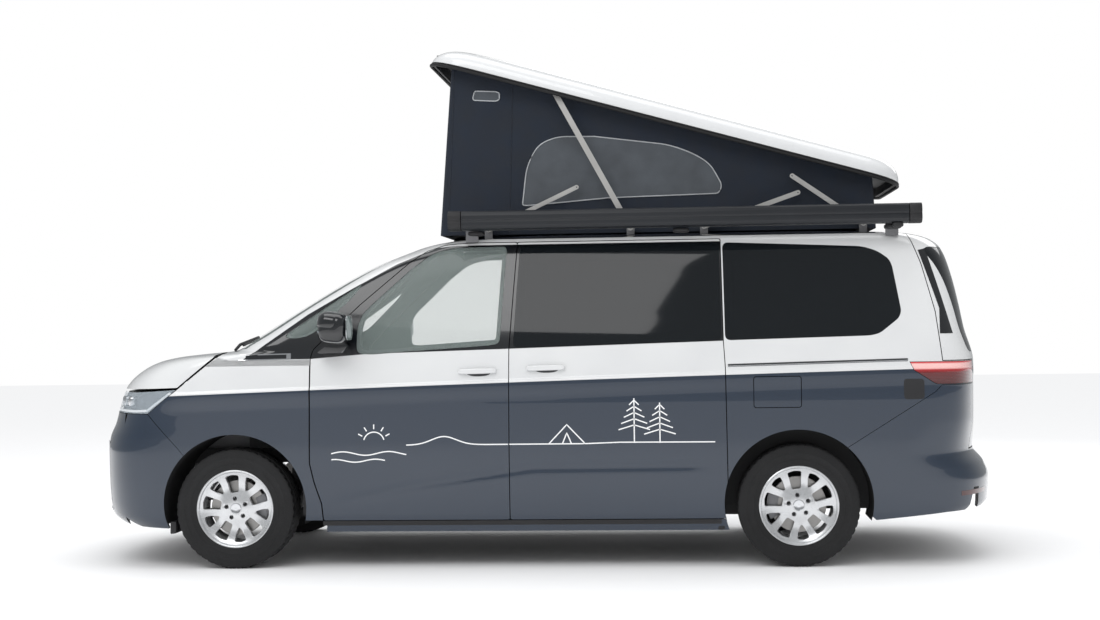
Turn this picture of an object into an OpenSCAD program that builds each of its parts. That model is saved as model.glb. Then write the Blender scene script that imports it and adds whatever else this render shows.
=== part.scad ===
// Camper van: a long-wheelbase van body with two front doors, two sliding doors, bonnet,
// tailgate, wind-out awning and a pop-up roof with a tent. Millimetres, +X towards the tail,
// +Y towards the right-hand side, +Z up; the origin is on the ground under the middle of the van.

/* [Overall] */
// Distance between the axles
wheelbase = 3124; // [3000:1:3250]
// From the front axle to the tip of the nose
front_overhang = 913; // [890:1:930]
// From the rear axle to the end of the tail
rear_overhang = 1136; // [1110:1:1160]
// Greatest width of the body, without mirrors
body_w = 1941; // [1900:1:2000]
// Thickness of a door, a pillar or a quarter panel
wall_t = 60; // [45:1:70]
// Width of the gap round a door, the bonnet or the tailgate
shut_gap = 6; // [6:0.5:8]

/* [Wheels] */
// Outer radius of a tyre as it stands
tyre_r = 334; // [320:1:340]
// Width of a tyre
tyre_w = 235; // [215:5:245]
// Radius of the rim's flange
rim_r = 220; // [215:1:230]
// Distance between the middles of the left and right tyres
track = 1656; // [1640:1:1670]
// Radius of a wheel arch
arch_r = 404; // [395:1:410]
// Height of a wheel arch's centre
arch_z = 346; // [340:1:350]
// Radius of a stub axle
stub_r = 30; // [25:1:35]

/* [Glass] */
// Thickness of a pane
glass_t = 5; // [4:0.5:8]
// How far a pane lies below the painted surface
glass_depth = 4; // [3:0.5:8]

/* [Pop-up roof] */
// Angle that the roof stands open
roof_angle = 15.8; // [14:0.1:15.9]
// Half the width of the roof shell at its rim
roof_half_w = 700; // [660:1:705]
// Height of the roof shell at its sides
roof_side_h = 105; // [95:1:115]
// Height of the rim when the roof is shut
seal_z = 1858; // [1856:0.5:1870]
// Thickness of the roof shell
roof_t = 26; // [20:1:30]

/* [Awning] */
// Length of the awning case
awning_l = 2600; // [2400:10:2700]
// Height of the awning case
awning_h = 110; // [100:1:115]
// Depth of the awning case
awning_d = 125; // [110:1:130]

/* [Hidden] */
$fn = 48;
front_x = -(wheelbase + front_overhang + rear_overhang) / 2;
rear_x = -front_x;
front_axle_x = front_x + front_overhang;
rear_axle_x = front_axle_x + wheelbase;
wheel_y = track / 2;

// ---- body surface ------------------------------------------------------------------------

// A smooth curve through the rows [key, value] of a table.
function row_at(t, k, i = 0) = i >= len(t) - 2 || k < t[i + 1][0] ? i : row_at(t, k, i + 1);
function chord(t, i) = (t[i + 1][1] - t[i][1]) / (t[i + 1][0] - t[i][0]);
function tangent(t, i) =
    i == 0 ? chord(t, 0) :
    i == len(t) - 1 ? chord(t, i - 1) :
    chord(t, i - 1) * chord(t, i) <= 0 ? 0 :
    2 * chord(t, i - 1) * chord(t, i) / (chord(t, i - 1) + chord(t, i));
function curve(t, k) =
    k <= t[0][0] ? t[0][1] :
    k >= t[len(t) - 1][0] ? t[len(t) - 1][1] :
    let (i = row_at(t, k), h = t[i + 1][0] - t[i][0], u = (k - t[i][0]) / h)
    t[i][1] * (1 + 2 * u) * (1 - u) ^ 2 + h * tangent(t, i) * u * (1 - u) ^ 2 +
    t[i + 1][1] * u ^ 2 * (3 - 2 * u) + h * tangent(t, i + 1) * u ^ 2 * (u - 1);

// Distance of the nose's centre line behind the tip, by height: bumper, bonnet, windscreen, roof.
NOSE = [[200, 190], [235, 80], [290, 22], [370, 4], [500, 0], [640, 0], [720, 14], [800, 48],
        [900, 76], [1000, 112], [1050, 150], [1110, 230], [1150, 318], [1175, 430], [1192, 590],
        [1202, 720], [1214, 800], [1250, 868], [1444, 1181], [1595, 1435], [1700, 1640], [1760, 1790],
        [1800, 1900], [1828, 2040], [1846, 2300], [1852, 2700]];
// Distance of the tail's centre line ahead of the end, by height.
TAIL = [[200, 260], [235, 120], [283, 45], [330, 8], [450, 0], [530, 28], [620, 92], [730, 90],
        [1105, 92], [1294, 140], [1424, 165], [1600, 205], [1745, 256], [1790, 300], [1825, 400],
        [1842, 700], [1852, 1500]];
// Half width of the body as a share of body_w / 2, by height.
SIDE = [[200, 0.93], [300, 0.968], [500, 0.992], [700, 1], [900, 1], [1050, 0.993], [1200, 0.973],
        [1400, 0.922], [1600, 0.862], [1740, 0.812], [1790, 0.785], [1820, 0.755], [1838, 0.7],
        [1850, 0.57], [1853, 0.4]];
// Length over which the plan outline rounds into the side at the front, and at the back, by height.
FRONT_ROUND = [[200, 700], [1000, 720], [1150, 640], [1250, 380], [1700, 340], [1760, 420], [1853, 600]];
REAR_ROUND = [[200, 620], [600, 560], [800, 420], [1200, 380], [1700, 330], [1853, 500]];
body_low_z = 200;
body_top_z = 1853;

function rounding(s) = s <= 0 ? 0 : s >= 1 ? 1 : sqrt(1 - (1 - s) ^ 4);
function half_width(x, z) =
    z > body_top_z ? 0 :
    body_w / 2 * curve(SIDE, z) *
    rounding((x - front_x - curve(NOSE, z)) / curve(FRONT_ROUND, z)) *
    rounding((rear_x - curve(TAIL, z) - x) / curve(REAR_ROUND, z));
// Half width of the same body with its skin moved in by t.
function inner_width(x, z, t) =
    t == 0 ? half_width(x, z) :
    max(0, min(half_width(x - t, z), half_width(x + t, z), half_width(x, min(z + t, body_top_z + 1))) - t);

// Highest and lowest z at which the body is as wide as a hand at x.
function reach(x, t, z_in, z_out, n = 18) =
    n == 0 ? z_in :
    let (m = (z_in + z_out) / 2)
    inner_width(x, m, t) > 2 ? reach(x, t, m, z_out, n - 1) : reach(x, t, z_in, m, n - 1);
widest_z = 560;
levels = 20;
function level(i) = let (u = i / levels) u < 0.5 ? 0.5 * (2 * u) ^ 1.3 : 1 - 0.5 * (2 - 2 * u) ^ 2.2;
function section(x, t) =
    let (z0 = reach(x, t, widest_z, body_low_z), z1 = reach(x, t, widest_z, body_top_z),
         side = [for (i = [0 : levels]) let (z = z0 + (z1 - z0) * level(i)) [inner_width(x, z, t), z]])
    concat([for (p = side) [x, p[0], p[1]]], [for (p = side) [x, -p[0], p[1]]]);
stations = concat(
    [for (d = [0.5, 8, 28, 60, 105, 160, 230, 320, 420, 540, 660, 760]) front_x + d],
    [for (d = [860 : 120 : 1940]) front_x + d],
    [for (i = [0 : 5]) front_x + 2100 + i * (rear_x - front_x - 3050) / 5],
    [for (d = [780, 640, 520, 410, 320, 230, 160, 105, 60, 28, 8, 0.5]) rear_x - d]);
module body_volume(t) {
    for (i = [0 : len(stations) - 2])
        hull() polyhedron(
            concat(section(stations[i], t), section(stations[i + 1], t)),
            [[for (k = [0 : 4 * levels + 3]) k]]);
}
// The body's outer layer, from depth t0 to depth t1 below the paint.
module skin(t0 = 0, t1 = wall_t) {
    difference() {
        body_volume(t0);
        body_volume(t1);
    }
}

// ---- outlines ----------------------------------------------------------------------------

// Each outline is seen from the left, in X and Z.
front_door_edge = [[-1175, 264], [-1181, 360], [-1219, 479], [-1243, 586], [-1235, 1166], [-1221, 1216],
    [-965, 1463], [-700, 1690], [-600, 1762], [-500, 1795], [-400, 1804]];
front_door = concat(front_door_edge, [[-88, 1804], [-88, 1765], [-126, 1204], [-132, 264]]);
slide_door = [[-132, 264], [-126, 1204], [-88, 1765], [-88, 1804], [1047, 1804], [1047, 1778],
    [1053, 1231], [1061, 1092], [1069, 264]];
front_pane = [[-975, 1196], [-905, 1187], [-240, 1228], [-178, 1240], [-146, 1757], [-156, 1780],
    [-450, 1778], [-560, 1750], [-690, 1652], [-975, 1392]];
slide_pane = [[-103, 1213], [1043, 1240], [1037, 1782], [-70, 1782]];
quarter_pane = [[1064, 1241], [1848, 1257], [1901, 1269], [2005, 1350], [2020, 1386], [1982, 1637],
    [1966, 1675], [1910, 1718], [1827, 1747], [1427, 1766], [1058, 1782]];
corner_pane = [[-1392, 1292], [-1258, 1292], [-1010, 1520], [-962, 1580]];
screen = [[-2000, 1226], [-1625, 1226], [-1490, 1303], [-1235, 1468], [-960, 1634], [-730, 1764],
    [-700, 1772], [-600, 1900], [-2000, 1900]];
wing = [[-1177, 264], [-1183, 360], [-1221, 479], [-1245, 586], [-1238, 1158], [-1700, 1158],
    [-1772, 1180], [-1990, 1005], [-2168, 868], [-1990, 676], [-1700, 300], [-1450, 264]];
bonnet_side = [[-2700, 990], [-1990, 1012], [-1787, 1178], [-1787, 1400], [-2700, 1400]];
lamp_front = [[-1998, 1002], [-2168, 868.3], [-2700, 868.3], [-2700, 986], [-2250, 988]];
bumper_front = [[-1990, 676], [-2168, 866], [-2700, 866], [-2700, 242], [-2065, 222], [-2040, 250],
    [-1900, 560]];
bumper_rear = [[1700, 640], [2190, 948], [2225, 984], [2700, 984], [2700, 305], [2400, 297],
    [2250, 290], [1868, 250], [1700, 400]];
lamp_rear = [[2057, 1110], [2078, 1066], [2183, 998], [2200, 990], [2700, 990], [2700, 1110]];
hatch = [[2060, 1900], [2087, 1799], [2141, 1646], [2204, 1383], [2232, 1116], [2700, 1116],
    [2700, 1900]];
flap = [[1222, 872], [1461, 872], [1469, 880], [1469, 1031], [1461, 1039], [1222, 1039],
    [1214, 1031], [1214, 880]];

module through(outline, grow = 0, inner = 0) {
    for (side = [-1, 1])
        rotate([90, 0, 0]) translate([0, 0, side > 0 ? inner : -1100])
            linear_extrude(1100 - inner) offset(delta = grow) polygon(outline);
}
module one_side(outline, grow = 0, y0 = 690) {
    rotate([90, 0, 0]) translate([0, 0, y0]) linear_extrude(1100 - y0) offset(delta = grow) polygon(outline);
}
module wheel_arch(x, grow = 0) {
    translate([x, 0, arch_z]) rotate([90, 0, 0]) cylinder(r = arch_r + grow, h = 2200, center = true, $fn = 72);
}
module slot(x, y, z) {
    translate([x[0], y[0], z[0]]) cube([x[1] - x[0], y[1] - y[0], z[1] - z[0]]);
}
// Both a block and its twin on the other side.
module slots(x, y, z) {
    slot(x, y, z);
    mirror([0, 1, 0]) slot(x, y, z);
}

// ---- places ------------------------------------------------------------------------------

door_hinge = [-1159, 940];
door_hinge_z = [470, 900];
bonnet_hinge = [-1785, 1178];
bonnet_hinge_y = 600;
hatch_hinge = [2118, 1812];
hatch_hinge_y = 420;
flap_hinge = [1218, 964];
kingpin_in = 38;
pole = [2913, 1861];
roof_front = -742;
roof_rear = 2032;
arm_foot = [545, 1880];
strut_foot = [-265, 1880];
link_foot = [960, 1880];
stay_foot = [1850, 1880];
roof_recess = 60;
arm_y = 640;
awning_y = 858;
steer_y = -370;
steer_hub = [-1000, 1090];
seat_y = 400;

// ---- body --------------------------------------------------------------------------------

module body_shell() {
    color("white") difference() {
        skin();
        // the front: bonnet, lamps, wings and bumper
        through([[-2700, 100], [-2700, 1130], [-1232, 1130], [-1100, 600], [-1180, 100]]);
        through([[-2700, 1100], [-1990, 1005], [-1762, 1186], [-1700, 1163], [-1232, 1163], [-1232, 1100]],
            inner = 790);
        for (side = [-1, 1]) {
            slot([-1840, -1755], [side * bonnet_hinge_y - 44, side * bonnet_hinge_y + 44], [1100, 1195]);
            slot([-1840, -1770], [side * bonnet_hinge_y - 44, side * bonnet_hinge_y + 44], [1100, 1300]);
        }
        bonnet_cut(34);
        through(screen, -14);
        pane_rebate() through(screen, 1.5);
        through(corner_pane, -6);
        through(front_door, shut_gap / 2, inner = 660);
        through(slide_door, shut_gap / 2, inner = 660);
        through(quarter_pane, -45);
        wheel_arch(rear_axle_x);
        // the tail: hatch, lamps and bumper
        through(hatch, shut_gap / 2 + 1);
        // room for the hatch's top edge to swing down
        translate([hatch_hinge[0], 0, hatch_hinge[1]]) rotate([90, 0, 0])
            cylinder(r = 49, h = 1300, center = true, $fn = 96);
        slot([2150, 2700], [-700, 700], [100, 1300]);
        through(lamp_rear, 1);
        through(bumper_rear, -0.7);
        // the underside and the roof opening
        slot([-1300, 2700], [-870, 870], [100, 290]);
        slot([1780, 2700], [-1100, 1100], [100, 300]);
        slot([-560, 1890], [-590, 590], [1700, 1900]);
        // seats for the roof's brackets
        bracket_blocks();
        for (side = [-1, 1])
            slot([hatch_hinge[0] - 86, hatch_hinge[0] - 76],
                [side * hatch_hinge_y - 15, side * hatch_hinge_y + 15], [1700, hatch_hinge[1]]);
        awning_brackets();
        // fuel flap on the left
        one_side(flap, shut_gap - 1, y0 = 925);
        slot([flap_hinge[0] - 14, flap_hinge[0]], [-1000, -925], [867, 1044]);
        translate([flap_hinge[0], -flap_hinge[1], 861]) cylinder(r = 3.3, h = 189);
        // rebates for the panes
        pane_rebate() through(quarter_pane, 0.8);
        pane_rebate() through(corner_pane, 10.8);
    }
}
module bonnet_cut(gap) {
    intersection() {
        through([[-2700, 900], [-1990, 1000], [-1740, 1200], [-1700, 1400], [-2700, 1400]]);
        difference() {
            slot([-2700, -1787 + gap], [-1100, 1100], [900, 1400]);
            translate([-1880 + 3200 + gap, 0, 800]) cylinder(r = 3200, h = 700, $fn = 360);
        }
    }
}
// The outermost layer of the body, as deep as a pane and its seat.
module pane_rebate() {
    difference() {
        children();
        body_volume(glass_t + 0.3);
    }
}
module pane() {
    intersection() {
        children();
        skin(0, glass_t);
    }
}
module front_wings() {
    color("white") difference() {
        intersection() {
            skin();
            through(wing, -shut_gap / 2, inner = 800);
        }
        wheel_arch(front_axle_x);
        slot([-2400, -1100], [-870, 870], [100, 1000]);
    }
}
module front_bumper() {
    color("darkslategray") difference() {
        intersection() {
            skin();
            through(bumper_front, 2.2);
        }
        wheel_arch(front_axle_x);
        slot([-2330, -1500], [-830, 830], [100, 900]);
        grille_opening(0.3);
    }
}
module grille_opening(grow) {
    translate([-2100, 0, 500]) rotate([0, -90, 0]) linear_extrude(600)
        offset(r = 40 + grow) square([364 - 80, 1400 - 80], center = true);
}
module grille() {
    color("black") intersection() {
        skin(6, 30);
        union() {
            grille_opening(0);
            slot([-2700, -2100], [-512, 512], [868.5, 985]);
        }
    }
}
module headlights() {
    color("lightgray") difference() {
        intersection() {
            skin();
            through(lamp_front, -0.3);
        }
        slot([-2700, -2100], [-512.3, 512.3], [800, 1100]);
    }
}
module rear_bumper() {
    color("darkslategray") difference() {
        intersection() {
            skin();
            through(bumper_rear, -1);
        }
        wheel_arch(rear_axle_x);
        slot([2100, 2700], [-700, 700], [618, 1100]);
        slot([1500, 2440], [-830, 830], [100, 420]);
    }
}
module tail_lights() {
    color("darkred") difference() {
        intersection() {
            skin();
            through(lamp_rear, 0.7);
        }
        slot([2100, 2700], [-701, 701], [900, 1200]);
    }
}
module windscreen() {
    color("darkseagreen", 0.4) pane() through(screen, 0.7);
}
module fixed_side_glass() {
    color("dimgray", 0.5) pane() {
        through(quarter_pane);
        through(corner_pane, 10);
    }
}

// ---- doors -------------------------------------------------------------------------------

module door_skin(edge, window, opening) {
    difference() {
        intersection() {
            skin();
            one_side(edge, -shut_gap / 2);
        }
        one_side(window, opening);
        pane_rebate() one_side(window, 0.8);
    }
}
module door_left() {
    color("white") difference() {
        door_skin(front_door, front_pane, -22);
        for (z = door_hinge_z)
            translate([door_hinge[0], -door_hinge[1], z]) {
                cylinder(r = 14, h = 96, center = true);
                slot([-95, 14], [0, 100], [-48, 48]);
            }
    }
}
module door_right() {
    mirror([0, 1, 0]) door_left();
}
module sliding_door() {
    color("white") difference() {
        door_skin(slide_door, slide_pane, -45);
        wheel_arch(rear_axle_x, shut_gap + 6);
    }
    color("gray") slot([60, 140], [-925, -890], [261.4, 275]);
}
module sliding_doors() {
    sliding_door();
    mirror([0, 1, 0]) sliding_door();
}
module sliding_door_glass() {
    color("dimgray", 0.5) pane() through(slide_pane);
}
module door_glass_left() {
    color("darkseagreen", 0.4) pane() one_side(front_pane);
}
module door_glass_right() {
    mirror([0, 1, 0]) door_glass_left();
}
// Knuckles on the door's side of the hinges, with their pins.
module hinges_left() {
    color("gray") translate([door_hinge[0], -door_hinge[1], 0])
        for (z = door_hinge_z) translate([0, 0, z]) {
            cylinder(r = 4, h = 80, center = true);
            for (k = [-1, 1]) translate([0, 0, k * 30 - 10]) {
                cylinder(r = 8, h = 20);
                slot([0, 13.5], [-3, 26], [0, 20]);
            }
        }
}
module hinges_right() {
    mirror([0, 1, 0]) hinges_left();
}
// Posts that the front doors hang on, with the body's half of each hinge.
module hinge_posts() {
    color("white") for (side = [0, 1]) mirror([0, side, 0]) {
        slot([-1279.7, -1240], [-868, -800], [322.3, 1140]);
        for (z = door_hinge_z) difference() {
            union() {
                slot([-1240, -1152], [-840, -824], [z - 18, z + 18]);
                slot([-1160, -1152], [-940, -824], [z - 18, z + 18]);
                translate([door_hinge[0], -door_hinge[1], z]) cylinder(r = 8, h = 36, center = true);
            }
            translate([door_hinge[0], -door_hinge[1], z]) cylinder(r = 4.05, h = 60, center = true);
        }
    }
}
// The body's half of the bonnet's and the tailgate's hinges.
module lid_hinge_brackets() {
    color("gray") for (side = [-1, 1]) {
        translate([bonnet_hinge[0], side * bonnet_hinge_y, bonnet_hinge[1]]) difference() {
            union() {
                rotate([90, 0, 0]) cylinder(r = 8, h = 34, center = true);
                slot([0, -1755.3 - bonnet_hinge[0]], [-15, 15], [-6, 6]);
            }
            rotate([90, 0, 0]) cylinder(r = 4.05, h = 60, center = true);
        }
        translate([hatch_hinge[0], side * hatch_hinge_y, hatch_hinge[1]]) difference() {
            union() {
                rotate([90, 0, 0]) cylinder(r = 8, h = 34, center = true);
                slot([-4, 4], [-15, 15], [-70, 0]);
                slot([-86, 4], [-15, 15], [-70, -60]);
                slot([-86, -76], [-15, 15], [-70, 0]);
            }
            rotate([90, 0, 0]) cylinder(r = 4.05, h = 60, center = true);
        }
    }
}
module mirror_left() {
    color("darkslategray") union() {
        hull() {
            translate([-1080, -1010, 1290]) scale([0.9, 1, 0.9]) sphere(r = 60, $fn = 32);
            translate([-1075, -1150, 1300]) scale([0.9, 0.8, 1.1]) sphere(r = 70, $fn = 32);
            translate([-1085, -1120, 1390]) scale([0.8, 1, 0.8]) sphere(r = 55, $fn = 32);
        }
        hull() {
            translate([-1110, -half_width(-1050, 1190) - 12.3, 1190]) cube([120, 12, 34]);
            translate([-1090, -1010, 1226]) cube([60, 40, 30]);
        }
    }
}
module mirror_right() {
    mirror([0, 1, 0]) mirror_left();
}

// ---- bonnet, tailgate and flap -----------------------------------------------------------

module bonnet() {
    color("white") difference() {
        intersection() {
            skin(0, 38);
            bonnet_cut(0);
            through(bonnet_side, -2);
        }
        for (side = [-1, 1])
            slot([-1840, bonnet_hinge[0] + 60],
                [side * bonnet_hinge_y - 42, side * bonnet_hinge_y + 42], [1100, bonnet_hinge[1] + 11]);
    }
}
module bonnet_hinges() {
    color("gray") for (side = [-1, 1])
        translate([bonnet_hinge[0], side * bonnet_hinge_y, bonnet_hinge[1]]) rotate([90, 0, 0]) {
            cylinder(r = 4, h = 70, center = true);
            for (k = [-1, 1]) translate([0, 0, k * 26 - 8]) {
                cylinder(r = 8, h = 16);
                slot([-1839.7 - bonnet_hinge[0], 0], [-6, 6], [0, 16]);
            }
        }
}
module tailgate() {
    color("white") difference() {
        intersection() {
            skin();
            union() {
                through(hatch, -shut_gap / 2);
                slot([2150, 2700], [-692, 692], [626, 1125]);
            }
        }
        hatch_glass_cut(-40);
        pane_rebate() hatch_glass_cut(2);
        for (side = [-1, 1])
            slot([hatch_hinge[0] - 60, hatch_hinge[0] + 24],
                [side * hatch_hinge_y - 42, side * hatch_hinge_y + 42], [1700, hatch_hinge[1] + 9]);
    }
}
module hatch_glass_cut(grow) {
    translate([2200, 0, 1450]) rotate([0, 90, 0]) linear_extrude(500)
        offset(r = 60 + grow) square([580 - 120, 1560 - 120], center = true);
}
module tailgate_glass() {
    color("dimgray", 0.5) pane() hatch_glass_cut(0);
}
module tailgate_hinges() {
    color("gray") for (side = [-1, 1])
        translate([hatch_hinge[0], side * hatch_hinge_y, hatch_hinge[1]]) rotate([90, 0, 0]) {
            cylinder(r = 4, h = 70, center = true);
            for (k = [-1, 1]) translate([0, 0, k * 26 - 8]) {
                cylinder(r = 8, h = 16);
                slot([0, 23.7], [-6, 6], [0, 16]);
            }
        }
}
module fuel_flap() {
    color("white") {
        intersection() {
            translate([1200, 0, 0]) rotate([90, 0, 90]) linear_extrude(300) polygon(concat(
                [for (z = [860 : 38 : 1050]) [-half_width(1340, z), z]],
                [for (z = [1050 : -38 : 860]) [14 - half_width(1340, z), z]]));
            one_side(flap);
        }
        for (z = [863, 1036])
            translate([flap_hinge[0], -flap_hinge[1], z]) cylinder(r = 3, h = 12);
    }
}

// ---- pop-up roof -------------------------------------------------------------------------

// Shapes are given as they lie when the roof is shut, then swung open about the pole.
module raised() {
    translate([pole[0], 0, pole[1]]) rotate([0, roof_angle, 0]) translate([-pole[0], 0, -pole[1]])
        children();
}
function roof_edge(x, t) = min(rounding((x - roof_front - t) / 420), rounding((roof_rear - t - x) / 300));
function roof_arch(x, t) =
    let (e = roof_edge(x, t), w = (roof_half_w - t) * (0.6 + 0.4 * e), h = (roof_side_h + 28 - t) * e)
    [for (a = [0 : 12 : 180])
        [x, w * sign(cos(a)) * abs(cos(a)) ^ 0.45, seal_z + h * sin(a) ^ 0.5]];
roof_x = concat([for (d = [0, 20, 60, 130, 230, 340, 440]) d], [for (d = [750 : 350 : 2150]) d],
    [for (d = [330, 230, 130, 60, 20, 0]) roof_rear - roof_front - d]);
module roof_volume(t) {
    for (i = [0 : len(roof_x) - 2]) {
        a = max(roof_front + roof_x[i], roof_front + t + 0.5);
        b = min(roof_front + roof_x[i + 1], roof_rear - t - 0.5);
        if (b > a)
            hull() polyhedron(concat(roof_arch(a, t), roof_arch(b, t)), [[for (k = [0 : 31]) k]]);
    }
}
module pop_roof() {
    color("white") raised() difference() {
        roof_volume(0);
        intersection() {
            translate([0, 0, -0.5]) roof_volume(roof_t);
            difference() {
                slot([-900, 2200], [-800, 800], [seal_z - 10, seal_z + roof_recess]);
                slots([-370, 80], [arm_y + 6.3, arm_y + 12], [seal_z + 4, seal_z + 100]);
            }
        }
    }
}
module arm(foot, length, lean, y, w, t) {
    for (side = [-1, 1])
        translate([foot[0], side * y, foot[1]]) rotate([0, lean, 0]) difference() {
            union() {
                translate([-length, -t / 2, -w / 2]) cube([length, t, w]);
                rotate([90, 0, 0]) cylinder(r = w / 2, h = t, center = true);
                translate([-length, 0, 0]) rotate([90, 0, 0]) cylinder(r = w / 2, h = t, center = true);
            }
            rotate([90, 0, 0]) cylinder(r = 6.1, h = 60, center = true);
            translate([-length, 0, 0]) rotate([90, 0, 0]) cylinder(r = 4, h = 60, center = true);
        }
}
arm_lean = 61.6;
strut_lean = 155;
link_lean = 161;
stay_lean = 35;
module front_arms() {
    color("silver") arm(arm_foot, 880, arm_lean, arm_y, 32, 12);
}
module front_struts() {
    color("silver") arm(strut_foot, 560, strut_lean, arm_y - 17, 24, 12);
}
module rear_links() {
    color("silver") arm(link_foot, 560, link_lean, arm_y - 17, 26, 12);
}
module rear_stays() {
    color("silver") arm(stay_foot, 480, stay_lean, arm_y, 26, 12);
}
module bracket_blocks() {
    for (foot = [arm_foot, strut_foot, link_foot, stay_foot])
        slots([foot[0] - 22, foot[0] + 22], [600, 614], [1820, foot[1] + 12]);
}
module roof_brackets() {
    color("silver") {
        bracket_blocks();
        awning_brackets();
        for (foot = [arm_foot, strut_foot, link_foot, stay_foot], side = [0, 1]) mirror([0, side, 0])
            translate([foot[0], 614, foot[1]]) rotate([-90, 0, 0])
                cylinder(r = 6, h = foot == arm_foot || foot == stay_foot ? 34 : 18);
    }
}
function tent_top(x) = pole[1] + (pole[0] - x) * tan(roof_angle)
    + (seal_z - pole[1] + roof_recess) / cos(roof_angle) - 0.5;
module tent_block(w, inset, up) {
    rotate([90, 0, 0]) linear_extrude(2 * w, center = true) polygon([
        [-545 + inset, seal_z - 3 - up], [1880 - inset, seal_z - 3 - up],
        [1850 - inset, tent_top(1850) + up], [-465 + inset, tent_top(-465) + up]]);
}
module tent_canvas() {
    color("midnightblue") difference() {
        tent_block(584, 0, 0);
        tent_block(578, 6, 20);
    }
}
module awning_brackets() {
    for (x = [-380, 1960]) {
        slot([x, x + 70], [-745, -725], [1806.5, seal_z + 42]);
        slot([x, x + 70], [-awning_y + awning_d / 2 + 0.3, -725],
            [seal_z + 18, seal_z + 42]);
    }
}
module awning_case() {
    color("dimgray") translate([-460, -awning_y, seal_z + 8]) rotate([0, 90, 0])
        linear_extrude(awning_l) translate([-awning_h / 2, 0])
            offset(r = 30, $fn = 32) square([awning_h - 60, awning_d - 60], center = true);
}

// ---- chassis -----------------------------------------------------------------------------

module floor_pan() {
    color("dimgray") {
        difference() {
            slot([-1279.7, 2060], [-869.7, 869.7], [292, 322]);
            slots([rear_axle_x - arch_r - 8, rear_axle_x + arch_r + 8], [690, 900], [200, 400]);
        }
        slots([-1160, 1010], [800, 869.7], [232, 262]);
        slots([-1160, 1010], [800, 855], [250, 300]);
        slots([rear_axle_x - 50, rear_axle_x + 50], [860, 910.2], [756, 766]);
        // rails below the floor, out to the front and the back
        slots([-2330, 1300], [470, 520], [244, 291.7]);
        // rear wheelhouses
        for (side = [0, 1]) mirror([0, side, 0]) difference() {
            translate([rear_axle_x, 676, arch_z]) rotate([-90, 0, 0]) cylinder(r = arch_r + 22, h = 198);
            translate([rear_axle_x, 690, arch_z]) rotate([-90, 0, 0]) cylinder(r = arch_r + 8, h = 300);
            slot([500, 2500], [600, 1000], [-100, 322.5]);
        }
    }
}
module bulkhead() {
    color("dimgray") {
        slot([-1299, -1280], [-881.5, 881.5], [292, 1150]);
        slots([-2330, -1299], [470, 520], [560, 640]);
    }
}
module engine() {
    color("gray") slot([-2250, -1720], [-400, 330], [400, 900]);
}
module exhaust() {
    color("silver") {
        translate([-1500, 250, 262]) rotate([0, 90, 0]) cylinder(r = 26, h = 1300);
        translate([-200, 250, 262]) rotate([0, 90, 0]) cylinder(r = 26, h = 1500);
        translate([300, 250, 236]) rotate([0, 90, 0]) cylinder(r = 55, h = 700);
        for (x = [-900, 200, 1150]) slot([x, x + 30], [240, 260], [270, 291.7]);
    }
}
module front_subframe() {
    color("dimgray") {
        slot([-1780, -1560], [-469.7, 469.7], [220, 290]);
        slots([-1772, -1738], [220, 260], [290, 399.7]);
        slots([-1715, -1632], [469.7, 806], [216, 240]);
    }
}
module rear_axle() {
    color("dimgray") difference() {
        union() {
            slot([rear_axle_x - 90, rear_axle_x + 60], [-560, 560], [225, 285]);
            slots([1300.3, rear_axle_x - 80], [480, 520], [250, 285]);
            slots([rear_axle_x - 40, rear_axle_x + 40], [540, 706], [240, 285]);
            slots([rear_axle_x - 40, rear_axle_x + 40], [692, 706], [240, 380]);
            for (side = [0, 1]) mirror([0, side, 0])
                translate([rear_axle_x, 695, tyre_r]) rotate([-90, 0, 0]) cylinder(r = stub_r, h = 177);
        }
    }
}
module knuckle_left() {
    color("dimgray") translate([front_axle_x, -wheel_y, tyre_r]) {
        translate([0, -44, 0]) rotate([-90, 0, 0]) cylinder(r = stub_r, h = 164);
        translate([-45, 90, -60]) cube([90, 34, 150]);
        translate([-25, 26, -60]) cube([50, 70, 24]);
        translate([0, kingpin_in, -93.7]) cylinder(r = 12, h = 40);
    }
}
module knuckle_right() {
    mirror([0, 1, 0]) knuckle_left();
}
module tyre() {
    rotate([90, 0, 0]) rotate_extrude($fn = 96) polygon([
        [rim_r - 12, -100], [rim_r + 10, -108], [tyre_r - 45, -tyre_w / 2], [tyre_r - 12, -108],
        [tyre_r, -85], [tyre_r, 85], [tyre_r - 12, 108], [tyre_r - 45, tyre_w / 2],
        [rim_r + 10, 108], [rim_r - 12, 100], [rim_r - 14, 0]]);
}
module wheel() {
    rotate([90, 0, 0]) difference() {
        union() {
            rotate_extrude($fn = 96) polygon([[rim_r - 32, -100], [rim_r - 12.2, -100],
                [rim_r - 14.2, 0], [rim_r - 12.2, 100], [rim_r - 32, 100]]);
            translate([0, 0, 46]) cylinder(r = rim_r - 25, h = 32);
            translate([0, 0, 30]) cylinder(r = 74, h = 50);
        }
        translate([0, 0, -200]) cylinder(r = stub_r + 0.08, h = 245);
        for (k = [0 : 4]) rotate([0, 0, 72 * k]) translate([56, 0, 0]) cylinder(r = 8, h = 120);
        for (k = [0 : 9]) rotate([0, 0, 36 * k + 18]) translate([0, 0, 20])
            linear_extrude(100) polygon([[88, -12], [170, -41], [178, 0], [170, 41], [88, 12]]);
    }
}
module place_wheel(x, side) {
    mirror([0, side > 0 ? 1 : 0, 0]) translate([x, -wheel_y, tyre_r]) children();
}

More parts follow.
